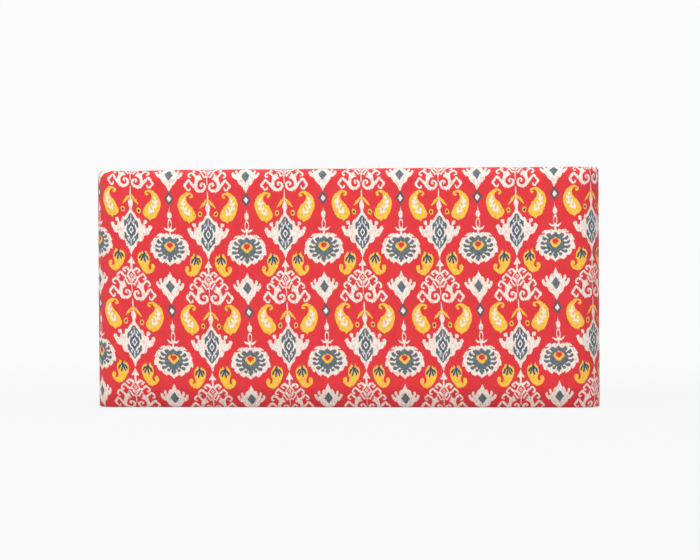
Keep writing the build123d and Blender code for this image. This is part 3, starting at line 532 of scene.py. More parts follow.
class Block:
    """The bench's covered form, or one of its layers, as a ring of wall columns and a seat.

    inset draws the form in, and seam_y says where the end panels start. The cover starts at its
    hem; a layer starts at low, its lowest height at the front and back and at the ends.
    """

    def __init__(self, inset, step, seam_y, low=None, underside=None):
        size = bpy.context.scene.bench_sizes
        self.half_x, self.half_y = size.length / 2 - inset, size.depth / 2 - inset
        self.corner = size.corner - inset
        self.top = COVER_HIGH.z - size.crown - inset
        self.crown = size.crown
        self.inset = inset
        self.seam_y = seam_y
        self.underside = COVER_LOW.z + inset if underside is None else underside
        self.make_ring(step)
        self.make_rows(size, step, low)
        self.make_top()

    def make_ring(self, step):
        """The block seen from above, walked anticlockwise from the middle of the front.

        A quarter runs straight, round the corner with angle = (walk - straight) / radius, and
        straight again. The other quarters mirror it. Layers share the cover's walk, so their
        meshes match.
        """
        straight = self.half_x - self.corner
        radius = self.corner + self.inset
        turn = radius * math.pi / 2
        quarter = straight + turn + self.half_y - self.corner
        self.seam_walk = straight + turn + (self.half_y - self.corner - self.seam_y)
        marks = [0, straight, straight + turn / 2, straight + turn, quarter, *(self.seam_walk + SEAM_LINES)]
        walk = spaced(marks, step)
        angle = np.clip((walk - straight) / radius, 0, math.pi / 2)
        normal = np.column_stack([np.sin(angle), -np.cos(angle)])
        x = np.minimum(walk, straight) + self.corner * np.sin(angle)
        y = np.maximum(walk - straight - turn, 0) - self.half_y + self.corner * (1 - np.cos(angle))
        point = np.column_stack([x, y])
        points, normals, walks, angles = [], [], [], []
        for number, flip in enumerate(((1, 1), (1, -1), (-1, -1), (-1, 1))):
            back = number % 2
            order = slice(-1, 0, -1) if back else slice(0, -1)
            points.append(point[order] * flip)
            normals.append(normal[order] * flip)
            angles.append(angle[order])
            walks.append((number + 1) * quarter - walk[order] if back else number * quarter + walk[order])
        self.point, self.normal = np.vstack(points), np.vstack(normals)
        self.walk, self.turned = np.concatenate(walks), np.concatenate(angles) / (math.pi / 2)
        self.round_trip = 4 * quarter
        half, seam = self.round_trip / 2, self.seam_walk
        self.seams = seam, half - seam, half + seam, self.round_trip - seam
        self.corner_column = int(np.argmin(np.abs(walk - straight - turn / 2)))

    def make_rows(self, size, step, low):
        """Walls as a profile of the way up: in under the bottom, round its edge, up, round the top edge.

        On a rounding of radius r and angle a the surface is drawn in by r (1 - cos a), and rises
        or sinks by r sin a. The foot turns by its tilt on one radius, runs straight and turns the
        rest on another. Each column has its own radii, which change smoothly from those of the
        front to those of the ends, and its own start, at the hem or at its lowest height.
        """
        turned = smooth_step(self.turned)

        def radius(front, end):
            """Each column's radius: from that of the front to that of the ends, less the inset."""
            return np.maximum(front + (end - front) * turned - self.inset, LEAST_RADIUS)

        edge, upper = radius(size.seat_edge, size.end_edge), radius(size.foot_round, size.end_low)
        lower, flat = radius(size.bottom_edge, size.end_low), size.foot_flat * (1 - turned)
        tilt, rest = size.foot_tilt, math.pi / 2 - size.foot_tilt
        sine, cosine = math.sin(tilt), math.cos(tilt)
        base = self.underside + upper * sine + flat * cosine + lower * (1 - sine)
        split = self.top - edge - (size.seam_drop - size.end_edge)
        if low is None:
            drawn_in = upper * (1 - cosine) + flat * sine + lower * cosine
            start = base - upper * tilt - flat - lower * rest - (size.hem_in - self.inset - drawn_in)
            run = COVER_HIGH.z + size.hem_in
        else:
            end = (np.abs(self.point[:, 1]) < self.seam_y - 1e-5) & (self.turned > 0.999)
            floor = np.where(end, low[1], low[0])
            drop = np.maximum(base - floor, 0)
            way = upper * np.arcsin(np.minimum(drop / upper, sine))
            drop = drop - upper * sine
            way += np.clip(drop / cosine, 0, flat)
            way += lower * (np.arcsin(np.clip(sine + (drop - flat * cosine) / lower, sine, 1)) - tilt)
            start = np.where(floor < base, base - way, floor)
            run = COVER_HIGH.z - min(low)
        fine = SEAM_LINES[-1]
        share = spaced([0, 1], step / run)[:-1, None]
        above = spaced([fine, size.seam_drop - size.end_edge], step)[1:-1, None]
        angle = spaced([0, math.pi / 2], step / size.seat_edge)[:, None]
        self.up = np.vstack([
            start + share * (split - fine - start),
            split + SEAM_LINES[:, None],
            split + above,
            self.top - edge + edge * angle,
        ])
        self.split_row = len(share) + len(SEAM_LINES) // 2
        over = np.clip((self.up - self.top + edge) / edge, 0, math.pi / 2)
        way = np.maximum(base - self.up, 0)
        first = np.minimum(way / upper, tilt)
        straight = np.clip(way - upper * tilt, 0, flat)
        second = tilt + np.clip((way - upper * tilt - flat) / lower, 0, rest)
        hem = np.maximum(way - upper * tilt - flat - lower * rest, 0)
        inset = edge * (1 - np.cos(over)) + upper * (1 - np.cos(first)) + straight * sine
        inset += lower * (cosine - np.cos(second)) + hem
        height = np.clip(self.up, base, self.top - edge) + edge * np.sin(over)
        height -= upper * np.sin(first) + straight * cosine + lower * (np.sin(second) - sine)
        level = self.point[None] - self.normal[None] * inset[..., None]
        self.rows = np.dstack([level, height])
        self.rows[-1, :, 2] += self.seat_rise(self.rows[-1, :, 0], self.rows[-1, :, 1])

    def seat_rise(self, x, y):
        """The crown: 1 - t^4 (3 - 2 t^2) each way, level in the middle and at the edges."""
        rise = self.crown
        for place, half in ((x, self.half_x), (y, self.half_y)):
            t = np.clip(np.abs(place) / (half - CROWN_MARGIN), 0, 1)
            rise = rise * (1 - t**4 * (3 - 2 * t**2))
        return rise

    def filled(self, row):
        """A grid across a row of the ring, from corner middle to corner middle.

        Each place is the sum of the blend between front and back and the blend between left and
        right, less the blend of the four corners.
        """
        count = len(self.walk)
        k = self.corner_column
        front = np.arange(-k, k + 1) % count
        back = np.arange(count // 2 + k, count // 2 - k - 1, -1)
        right = np.arange(k, count // 2 - k + 1)
        left = np.arange(-k, k - count // 2 - 1, -1) % count
        u = (row[front, 0] - row[front[0], 0]) / (row[front[-1], 0] - row[front[0], 0])
        v = (row[left, 1] - row[left[0], 1]) / (row[left[-1], 1] - row[left[0], 1])
        u, v = u[None, :, None], v[:, None, None]
        grid = (1 - v) * row[front][None] + v * row[back][None]
        grid = grid + (1 - u) * row[left][:, None] + u * row[right][:, None]
        grid -= (1 - u) * (1 - v) * row[front[0]] + u * (1 - v) * row[front[-1]]
        grid -= (1 - u) * v * row[back[0]] + u * v * row[back[-1]]
        return grid, (front, back, left, right)

    def make_top(self):
        """Joins walls and seat into one mesh. Quads carry the panel that they belong to."""
        rows, columns = self.up.shape
        grid, sides = self.filled(self.rows[-1])
        grid[..., 2] = self.top + self.seat_rise(grid[..., 0], grid[..., 1])
        border = [side + (rows - 1) * columns for side in sides]
        index, inner = grid_numbers(grid.shape[:2], border, rows * columns)
        self.points = np.vstack([self.rows.reshape(-1, 3), grid[inner]])
        numbers = np.arange(rows * columns).reshape(rows, columns)
        after = np.roll(numbers, -1, axis=1)
        walls = np.stack([numbers[:-1], after[:-1], after[1:], numbers[1:]], axis=-1)
        seat = grid_quads(index)
        middle = (self.walk + (np.roll(self.walk, -1) - self.walk) % self.round_trip / 2) % self.round_trip
        side = np.array([FRONT, RIGHT, BACK, LEFT, FRONT])[np.searchsorted(self.seams, middle)]
        panel = np.broadcast_to(side, (rows - 1, columns)).copy()
        ends = (panel == RIGHT) | (panel == LEFT)
        panel[self.split_row:][ends[self.split_row:]] = SEAT
        signed = np.where(middle > self.round_trip / 2, middle - self.round_trip, middle)
        self.quads = np.vstack([walls.reshape(-1, 4), seat])
        self.panel = np.concatenate([panel.ravel(), np.full(len(seat), SEAT)])
        self.quad_walk = np.concatenate([np.tile(signed, rows - 1), np.zeros(len(seat))])


def vertex_normals(points, quads):
    """The mean of the crossed diagonals of the quads round each point, made unit long."""
    first, second, third, fourth = (points[quads[:, corner]] for corner in range(4))
    facing = np.cross(third - first, fourth - second)
    total = np.zeros_like(points)
    for corner in range(4):
        np.add.at(total, quads[:, corner], facing)
    return total / np.maximum(np.linalg.norm(total, axis=1), 1e-12)[:, None]


def pillow(block):
    """Moves the cover's points along their normals: a bulge, slow waves, and grooves at the seams.

    The bulge is 1 - t^2, squared, with t from -1 at the foot of a wall to 1 at its top. The waves
    are sines in random directions, calmer on the ends and none below. A groove is
    depth * exp(-(gap / width)^2) of the gap to the nearest seam. Last, the skew moves the top to
    the left and the foot to the right.
    """
    size = bpy.context.scene.bench_sizes
    points = block.points
    normal = vertex_normals(points, block.quads)
    t = (points[:, 2] - block.underside) / (block.top - block.underside) * 2 - 1
    move = size.bulge * np.clip(1 - t**2, 0, 1) ** 2 * normal[:, 1] ** 2
    waves = np.random.default_rng(11)
    calm = (1 - END_CALM * normal[:, 0] ** 2) * (1 - np.clip(-normal[:, 2], 0, 1))
    for _ in range(WAVES):
        way = waves.normal(size=3)
        way *= 2 * math.pi / waves.uniform(*WAVE_LENGTHS) / np.linalg.norm(way)
        move += WAVE_HEIGHT * calm * np.sin(points @ way + waves.uniform(0, 2 * math.pi))
    rows, columns = block.up.shape
    near = np.full((rows, columns), 1.0)
    for mark in block.seams:
        near = np.minimum(near, np.abs(block.walk - mark)[None])
    x, y = np.abs(block.point).T
    end = (y <= block.seam_y + 1e-6) & (x > block.half_x - 1e-6)
    level = np.abs(block.up - block.up[block.split_row][None])
    near = np.where(end[None], np.minimum(near, level), near)
    corner = (block.turned > 0) & ~end
    over = block.up[-1][None] - block.up
    faded = np.maximum(CORNER_SEAM_START - block.turned, 0)[None] * CORNER_SEAM_FADE
    near = np.where(corner[None], np.minimum(near, over + faded), near)
    move[: rows * columns] -= size.seam_depth * np.exp(-((near.ravel() / GROOVE_WIDTH) ** 2))
    block.points = points + normal * move[:, None]
    block.points[:, 0] -= size.skew * t
    block.near = np.concatenate([near.ravel(), np.full(len(points) - rows * columns, 1.0)])


def cloth_places(block, panel, used):
    """Where each point of a panel lies on the printed cloth: across and up, in metres.

    Front and ends take the walk round the block and the way up the wall. The seat carries the
    front on over the edge, and the back carries the seat on, so the print is upside down there.
    """
    rows, columns = block.up.shape
    size = bpy.context.scene.bench_sizes
    over = block.top - size.seat_edge + size.seat_edge * math.pi / 2
    seat_run = 2 * (block.half_y - size.seat_edge)
    walls = used < rows * columns
    number = np.where(walls, used, 0)
    walk = block.walk[number % columns]
    up = block.up.ravel()[number]
    x, y = block.points[used, 0], block.points[used, 1]
    if panel == BACK:
        return np.column_stack([block.round_trip / 2 - walk, 2 * over + seat_run - up])
    if panel == SEAT:
        drop = np.where(walls, block.up[-1][number % columns] - up, 0)
        return np.column_stack([x + np.sign(x) * drop, over + y + seat_run / 2])
    walk = np.where(walk > block.round_trip / 2, walk - block.round_trip, walk)
    return np.column_stack([walk, up])


# Pieces

SEAM_SHADE_WIDTH = 0.0012  # of the shade in a seam
BAKE_MARGIN = 0.005  # round a piece in the map for baking
LUMP_WIDTH, LUMP_SLANT = 0.03, 0.041  # size of the lumps in padding, and the height in which they shift


def new_piece(name, points, faces, material, normals=None):
    """A mesh object at the origin, smooth, riding on the bench."""
    mesh = bpy.data.meshes.new(name)
    mesh.from_pydata(points.tolist(), [], faces.tolist())
    mesh.update()
    mesh.shade_smooth()
    if normals is not None:
        mesh.normals_split_custom_set_from_vertices(normals.tolist())
    mesh.materials.append(material)
    piece = bpy.data.objects.new(name, mesh)
    bpy.context.scene.collection.objects.link(piece)
    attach(piece, "root")
    return piece


def level_grid(low, high, counts):
    """Places x and y over a box seen from above, with so many points along X and along Y."""
    return np.meshgrid(np.linspace(low.x, high.x, counts[0]), np.linspace(low.y, high.y, counts[1]))


def write_map(piece, name, places):
    """A UV map from one place per vertex."""
    mesh = piece.data
    corners = np.empty(len(mesh.loops), np.int32)
    mesh.loops.foreach_get("vertex_index", corners)
    layer = mesh.uv_layers.new(name=name)
    layer.data.foreach_set("uv", places[corners].astype(np.float32).ravel())


def flat_mapped(name, x, y, z, material, flip=False):
    """A sheet from a grid of places, with its own flat map in metres."""
    points = np.stack([x, y, z], axis=-1).reshape(-1, 3)
    quads = grid_quads(np.arange(x.size).reshape(x.shape))
    piece = new_piece(name, points, quads[:, ::-1] if flip else quads, material)
    write_map(piece, "cloth", points[:, :2])
    return piece


def write_inks(piece, planes):
    """The eight ink layers as colour attributes, four layers in each: level, then the two slopes."""
    for part, values in zip(("", "_across", "_along"), planes):
        for name, four in (("inks", values[:, :4]), ("fine_inks", values[:, 4:])):
            layer = piece.data.color_attributes.new(name + part, "FLOAT_COLOR", "POINT")
            layer.data.foreach_set("color", four.astype(np.float32).ravel())


def cover_panel(block, normals, panel, keep, name, material, layers):
    """One piece of the cover, with its print, its place on the cloth and a map for baking."""
    used, local = np.unique(block.quads[keep], return_inverse=True)
    piece = new_piece(name, block.points[used], local.reshape(-1, 4), material, normals[used])
    cloth = cloth_places(block, panel, used)
    write_map(piece, "cloth", cloth)
    spread = (cloth - cloth.min(axis=0)) / (cloth.max(axis=0) - cloth.min(axis=0))
    write_map(piece, "OFBake", BAKE_MARGIN + (1 - 2 * BAKE_MARGIN) * spread)
    write_inks(piece, print_at(layers, cloth))
    shade = np.exp(-((block.near[used] / SEAM_SHADE_WIDTH) ** 2))
    layer = piece.data.attributes.new("seam", "FLOAT", "POINT")
    layer.data.foreach_set("value", shade.astype(np.float32))
    return piece


def thick_faces(quads):
    """Faces of a layer: outer quads, inner quads turned round, and a rim along every open edge.

    The inner skin's points follow the outer skin's in the mesh.
    """
    count = quads.max() + 1
    edges = np.vstack([quads[:, [i, (i + 1) % 4]] for i in range(4)])
    _, first, uses = np.unique(np.sort(edges, axis=1), axis=0, return_index=True, return_counts=True)
    rim = edges[first[uses == 1]]
    walls = np.column_stack([rim[:, 1], rim[:, 0], rim[:, 0] + count, rim[:, 1] + count])
    return np.vstack([quads, quads[:, ::-1] + count, walls])


def padding_layer(name, outer, inner, keep, material, node, lumps):
    """A padded layer between two blocks of the same mesh, with lumps pressed into its inner skin."""
    used, local = np.unique(outer.quads[keep], return_inverse=True)
    outside, inside = outer.points[used], inner.points[used]
    between = inside - outside
    x, y, z = outside.T
    depth = lattice_noise(x / LUMP_WIDTH + z / LUMP_WIDTH, y / LUMP_WIDTH + z / LUMP_SLANT, seed=5)
    inside = outside + between * (1 - lumps * (1 + depth[:, None]) / 2)
    piece = new_piece(name, np.vstack([outside, inside]), thick_faces(local.reshape(-1, 4)), material)
    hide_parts(node)
    return piece


# Materials

THREADS = 1100.0  # of the printed cloth, in a metre
FEATHER = 0.010  # how unevenly the tops and bottoms of the motifs end, thread by thread
FRAY = 0.11  # how far noise moves the level at which a motif's edge lies
EDGE_SOFTNESS = 0.035  # of a motif's edge, as a level either way
SALMON_SHARE, SLATE_SHARE, ORANGE_SHARE = 0.75, 0.8, 0.9  # of the streaks in cream, grey and gold
DEEP_RED_SHARE = 0.35  # of the ground's darkest clouds
SLUB_SHADE = 0.93  # how bright the darkest slubs are
SEAM_SHADE, SEAM_COLOUR = 0.35, (0.12, 0.03, 0.03, 1)  # share and colour of the shade in a seam


class Graph:
    """Shorthand for a node tree: node() adds one, sets or links its inputs and returns it."""

    def __init__(self, tree):
        self.tree = tree
        tree.nodes.clear()

    def node(self, kind, inputs=None, **settings):
        """Adds a node. Inputs are values or sockets by name or number."""
        made = self.tree.nodes.new(kind)
        for name, value in settings.items():
            setattr(made, name, value)
        for name, value in (inputs or {}).items():
            if isinstance(value, bpy.types.NodeSocket):
                self.tree.links.new(value, made.inputs[name])
            else:
                made.inputs[name].default_value = value
        return made

    def math(self, operation, first, second=0.0):
        """One operation on one or two values."""
        return self.node("ShaderNodeMath", {0: first, 1: second}, operation=operation).outputs[0]

    def scaled(self, vector, scale):
        """The vector times three factors."""
        return self.node("ShaderNodeVectorMath", {0: vector, 1: scale}, operation="MULTIPLY").outputs[0]

    def noise(self, vector, scale=1.0, detail=2.0, rough=0.5):
        """Cloudy noise from 0 to 1."""
        inputs = {"Vector": vector, "Scale": scale, "Detail": detail, "Roughness": rough}
        return self.node("ShaderNodeTexNoise", inputs).outputs["Fac"]

    def ramp(self, value, low, high, start=0.0, end=1.0):
        """A smooth step of the value from low to high."""
        inputs = {"Value": value, "From Min": low, "From Max": high, "To Min": start, "To Max": end}
        return self.node("ShaderNodeMapRange", inputs, interpolation_type="SMOOTHSTEP").outputs[0]

    def mix(self, share, first, second, blend="MIX"):
        """The first colour, with a share of the second laid over it."""
        inputs = {0: share, 6: first, 7: second}
        return self.node("ShaderNodeMix", inputs, data_type="RGBA", blend_type=blend).outputs[2]

    def bump(self, height, strength, distance):
        """A normal tilted by the slope of a height."""
        inputs = {"Height": height, "Strength": strength, "Distance": distance}
        return self.node("ShaderNodeBump", inputs).outputs[0]

    def place(self, cloth=False):
        """A point's place: on the flat cloth, or in the object's own metres."""
        if cloth:
            return self.node("ShaderNodeUVMap", uv_map="cloth").outputs[0]
        return self.node("ShaderNodeTexCoord").outputs["Object"]

    def effect(self, name, inputs):
        """The outputs of one of the node groups of build_effects()."""
        return self.node("ShaderNodeGroup", inputs, node_tree=bpy.data.node_groups[name]).outputs


def rgba(colour):
    """A colour with full cover."""
    return (*colour, 1.0)


def shaded(name, build, roughness, **constants):
    """A Principled material. build(graph) gives its colour and its normal."""
    material = bpy.data.materials.new(name)
    material.use_nodes = True
    graph = Graph(material.node_tree)
    shader = graph.node("ShaderNodeBsdfPrincipled", {"Roughness": roughness, **constants})
    colour, normal = build(graph)
    graph.tree.links.new(colour, shader.inputs["Base Color"])
    graph.tree.links.new(normal, shader.inputs["Normal"])
    graph.node("ShaderNodeOutputMaterial", {0: shader.outputs[0]})
    return material


def new_effect(name, values, outputs, build):
    """A node group that several materials use, with a place and values going in.

    build(graph, sockets) gives the sockets that come out.
    """
    tree = bpy.data.node_groups.new(name, "ShaderNodeTree")
    tree.interface.new_socket("Place", in_out="INPUT", socket_type="NodeSocketVector")
    for label, value in values.items():
        made = tree.interface.new_socket(label, in_out="INPUT", socket_type="NodeSocketFloat")
        made.default_value = value
    for label in outputs:
        tree.interface.new_socket(label, in_out="OUTPUT", socket_type="NodeSocketFloat")
    graph = Graph(tree)
    results = build(graph, graph.node("NodeGroupInput").outputs)
    graph.node("NodeGroupOutput", dict(zip(outputs, results)))


def build_effects():
    """Weave, grain, mottle and wear, each built once."""

    def weave(graph, sockets):
        """Threads over and under: |sin(pi u) sin(pi v)| of the place in threads, and slubs."""
        inputs = {0: sockets["Place"], "Scale": sockets["Threads"]}
        threads = graph.node("ShaderNodeVectorMath", inputs, operation="SCALE").outputs[0]
        parts = graph.node("ShaderNodeSeparateXYZ", {0: threads}).outputs
        warp = graph.math("SINE", graph.math("MULTIPLY", parts[0], math.pi))
        weft = graph.math("SINE", graph.math("MULTIPLY", parts[1], math.pi))
        height = graph.math("ABSOLUTE", graph.math("MULTIPLY", warp, weft))
        long_slubs = graph.noise(graph.scaled(threads, (0.55, 0.02, 1)))
        cross_slubs = graph.noise(graph.scaled(threads, (0.02, 0.55, 1)))
        slubs = graph.math("MULTIPLY", graph.math("ADD", long_slubs, cross_slubs), 0.5)
        return graph.math("ADD", height, graph.math("MULTIPLY", slubs, 1.5)), slubs

    def grain(graph, sockets):
        """Year rings seen along the board: noise stretched along its third axis, in waves."""
        place = graph.scaled(sockets["Place"], (1, 1, 0.06))
        bend = graph.noise(place, scale=14.0, detail=3.0)
        rings = graph.math("SINE", graph.math("MULTIPLY", bend, 60.0))
        fibre = graph.noise(graph.scaled(sockets["Place"], (1, 1, 0.02)), scale=900.0)
        value = graph.math("ADD", graph.math("MULTIPLY", rings, 0.35), fibre)
        return graph.ramp(value, low=0.1, high=0.9), fibre

    def mottle(graph, sockets):
        """Cells of the given scale, and cloudy spots of about 3 cm."""
        inputs = {"Vector": sockets["Place"], "Scale": sockets["Scale"]}
        cells = graph.node("ShaderNodeTexVoronoi", inputs).outputs["Distance"]
        return cells, graph.noise(sockets["Place"], scale=30.0, detail=4.0)

    def wear(graph, sockets):
        """Fine brushed lines and dull patches."""
        lines = graph.noise(graph.scaled(sockets["Place"], (1, 1, 0.05)), scale=2500.0)
        dull = graph.noise(sockets["Place"], scale=120.0, detail=3.0)
        return lines, graph.ramp(dull, low=0.4, high=0.65)

    new_effect("plain weave", {"Threads": 900.0}, ("Height", "Slubs"), weave)
    new_effect("wood grain", {}, ("Rings", "Fibre"), grain)
    new_effect("mottle", {"Scale": 400.0}, ("Cells", "Cloud"), mottle)
    new_effect("metal wear", {}, ("Lines", "Dull"), wear)


def ink_sockets(graph, place):
    """The eight layers at this place: each plane's level + across * u + along * v.

    v is shifted thread by thread, which feathers the tops and bottoms of the motifs.
    """
    parts = graph.node("ShaderNodeSeparateXYZ", {0: place}).outputs
    threads = graph.noise(graph.scaled(place, (640, 60, 1)), detail=1.0)
    feather = graph.math("MULTIPLY", graph.math("SUBTRACT", threads, 0.5), FEATHER)
    lifted = graph.math("ADD", parts[1], feather)
    sockets = []
    for name in ("inks", "fine_inks"):
        planes = []
        for part in ("", "_across", "_along"):
            source = graph.node("ShaderNodeAttribute", attribute_name=name + part).outputs
            three = graph.node("ShaderNodeSeparateColor", {0: source["Color"]}).outputs
            planes.append([three[0], three[1], three[2], source["Alpha"]])
        for level, across, along in zip(*planes):
            level = graph.math("ADD", level, graph.math("MULTIPLY", across, parts[0]))
            sockets.append(graph.math("ADD", level, graph.math("MULTIPLY", along, lifted)))
    return sockets


def printed_cloth():
    """Ikat cloth.

    Each ink covers those before it where its layer, frayed by stretched noise, passes the ink's
    level. That is about a half; a higher one draws the motifs thinner.
    """
    inks = bpy.context.scene.bench_colours

    def build(graph):
        place = graph.place(cloth=True)
        weave = graph.effect("plain weave", {"Place": place, "Threads": THREADS})
        fray = graph.noise(graph.scaled(place, (520, 70, 1)))
        fray = graph.math("MULTIPLY", graph.math("SUBTRACT", fray, 0.5), FRAY)
        dashes = graph.noise(graph.scaled(place, (330, 120, 1)), detail=3.0, rough=0.6)
        clouds = graph.noise(graph.scaled(place, (40, 25, 1)))
        layers = ink_sockets(graph, place)
        streak = graph.ramp(dashes, low=0.50, high=0.60)
        deep = graph.ramp(clouds, low=0.35, high=0.75, end=DEEP_RED_SHARE)
        ground = graph.mix(deep, rgba(inks.red), rgba(inks.deep_red))

        def streaked(ink, other, share):
            """An ink with streaks of another, which cover it up to the given share."""
            return graph.mix(graph.math("MULTIPLY", streak, share), rgba(ink), rgba(other))

        cream = streaked(inks.cream, inks.salmon, SALMON_SHARE)
        grey = streaked(inks.grey, inks.slate, SLATE_SHARE)
        gold = streaked(inks.gold, inks.orange, ORANGE_SHARE)
        pale = graph.mix(streak, rgba(inks.lilac), rgba(inks.cream))
        navy, slate, pink = rgba(inks.navy), rgba(inks.slate), rgba(inks.pink)
        drawn = (
            (cream, 0.53), (grey, 0.49), (gold, 0.52), (navy, 0.495),
            (pale, 0.5), (slate, 0.5), (ground, 0.49), (pink, 0.5),
        )
        colour = ground
        for layer, (ink, level) in zip(layers, drawn):
            frayed = graph.math("ADD", layer, fray)
            inked = graph.ramp(frayed, level - EDGE_SOFTNESS, level + EDGE_SOFTNESS)
            colour = graph.mix(inked, colour, ink)
        shade = graph.ramp(weave["Slubs"], low=0.35, high=0.65, start=SLUB_SHADE)
        shade = graph.node("ShaderNodeCombineColor", {0: shade, 1: shade, 2: shade}).outputs[0]
        colour = graph.mix(1.0, colour, shade, "MULTIPLY")
        seam = graph.node("ShaderNodeAttribute", attribute_name="seam").outputs["Fac"]
        colour = graph.mix(graph.math("MULTIPLY", seam, SEAM_SHADE), colour, SEAM_COLOUR)
        return colour, graph.bump(weave["Height"], strength=0.25, distance=0.0004)

    sheen = {"Sheen Weight": 0.12, "Sheen Roughness": 0.5, "Specular IOR Level": 0.25}
    return shaded("printed cloth", build, 0.82, **sheen)


def mottled(light, dark, scale, strength):
    """Foam, wadding, fibre and moulded nylon: cells over a cloudy colour."""

    def build(graph):
        mottle = graph.effect("mottle", {"Place": graph.place(), "Scale": scale})
        cloud = graph.ramp(mottle["Cloud"], low=0.35, high=0.7)
        colour = graph.mix(cloud, rgba(linear(light)), rgba(linear(dark)))
        return colour, graph.bump(mottle["Cells"], strength, distance=0.001)

    return build


def woven(light, dark, threads):
    """Plain cloth seen by its weave, placed by its own map."""

    def build(graph):
        weave = graph.effect("plain weave", {"Place": graph.place(cloth=True), "Threads": threads})
        slubs = graph.ramp(weave["Slubs"], low=0.35, high=0.65)
        colour = graph.mix(slubs, rgba(linear(dark)), rgba(linear(light)))
        return colour, graph.bump(weave["Height"], strength=0.6, distance=0.0006)

    return build


def wooden(light, dark, turn=(0, 0, 0)):
    """Timber or board. turn brings the length of the piece to the grain's axis."""

    def build(graph):
        turned = graph.node("ShaderNodeMapping", {"Vector": graph.place(), "Rotation": turn}).outputs[0]
        grain = graph.effect("wood grain", {"Place": turned})
        colour = graph.mix(grain["Rings"], rgba(linear(light)), rgba(linear(dark)))
        return colour, graph.bump(grain["Fibre"], strength=0.3, distance=0.0004)

    return build


def metal(light, dark):
    """Brushed lines, and a darker colour in dull patches."""

    def build(graph):
        wear = graph.effect("metal wear", {"Place": graph.place()})
        colour = graph.mix(wear["Dull"], rgba(linear(light)), rgba(linear(dark)))
        return colour, graph.bump(wear["Lines"], strength=0.15, distance=0.0002)

    return build


QUARTER_TURN = math.pi / 2
# Name, parts of the names of its nodes, look, roughness and metallic of each finish
FINISHED = (
    ("softwood upright", ("_post",), wooden("D9B886", "B98E58"), 0.65, 0.0),
    ("softwood along", ("front_bottom_rail", "back_bottom_rail", "front_top_rail", "back_top_rail", "_cleat"),
     wooden("D9B886", "B98E58", (0, QUARTER_TURN, 0)), 0.65, 0.0),
    ("softwood across",
     ("left_bottom_rail", "right_bottom_rail", "left_top_rail", "right_top_rail", "_stretcher", "_blocks"),
     wooden("DDBD8C", "BE935C", (QUARTER_TURN, 0, 0)), 0.65, 0.0),
    ("hardboard", ("_board",), wooden("8A6644", "6E4E33"), 0.7, 0.0),
    ("fibre strip", ("_strip",), mottled("C2B08E", "A9966F", 900.0, 0.3), 0.8, 0.0),
    ("oiled spring steel", ("seat_spring", "tie_wires"), metal("5A5B5E", "3B3A3A"), 0.38, 0.9),
    ("zinc plate", ("_clips", "_nails", "_screws", "_staples"), metal("C9CACB", "A9A79F"), 0.35, 0.9),
    ("natural nylon", ("_glide",), mottled("E8E5DC", "DDD9CE", 1500.0, 0.15), 0.45, 0.0),
)


# The steps that build the bench

SEAT_RUN_OVER = 0.03  # by which the seat's cloth is longer than the bench, as it runs down to both end seams
BATTING_OUTSIDE, BATTING_INSIDE = 0.0014, 0.0068  # how far in from the cover the padding's skins lie
FOAM_OUTSIDE, FOAM_INSIDE = 0.0072, 0.0188
CUSHION_OUTSIDE = 0.0073
PADDING_STEP = 0.009  # spacing of the padding's mesh
BATTING_LUMPS, FOAM_LUMPS = 0.15, 0.05  # depth of the lumps, as a share of the layer
LIFT = 0.0005  # of the cushion's foot and the dust cover's edge, above the lowest point of the CAD piece
DECK_CLEAR = 0.0004  # how far the deck cloth stays below its CAD piece's top, and the arch over it rises
DECK_DIP, DECK_DIP_SPACING = 0.0003, 0.118  # dips between the springs, which stand about that far apart
DUST_SAG, DUST_SAG_RUN = 0.0012, 0.12  # how far the dust cover hangs down, and how soon from its edge
DUST_FOLD, DUST_FOLD_SPACING, DUST_FOLD_RUN = 0.0002, 0.068, 0.03  # its folds, and how soon they fade inwards
DUST_FLAT_EDGE = 0.02  # over which the folds rise from the stapled edge
DECK_POINTS, DUST_POINTS = (240, 110), (300, 130)  # of both sheets' meshes, along and across
SWEEP_REACH, SWEEP_BACK, SWEEP_HEIGHT = 9.0, 5.0, 7.0  # size of the backdrop, and where it turns up
SWEEP_GREY = (0.58, 0.58, 0.58, 1)  # how much light the backdrop throws back at the bench
SWEEP_GLOW = 0.95  # share of its white that the camera sees; the rest carries the bench's shadow
# painted shade: the sweep's glow is a little darker on the floor at the front than far back
FLOOR_WHITE, BACK_WHITE = (0.955, 0.955, 0.955, 1), (1, 1, 1, 1)  # that white, at the front and far back
LAMPS_AIM = Vector((0, 0, 0.25))  # about the middle of the bench
EYE, AIM, ROLL = Vector((0.3143, -3.9876, 0.2766)), Vector((-0.0078, -0.0007, 0.245)), math.radians(-0.275)


class BENCH_OT_finishes(bpy.types.Operator):
    """Give frame, springs, fasteners and glides their finishes"""

    bl_idname = "bench.finishes"
    bl_label = "Frame Finishes"

    def execute(self, context):
        build_effects()
        for name, parts, build, roughness, metallic in FINISHED:
            material = shaded(name, build, roughness, Metallic=metallic)
            for node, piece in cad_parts.items():
                if any(part in node for part in parts):
                    piece.data.materials.clear()
                    piece.data.materials.append(material)
        return {"FINISHED"}


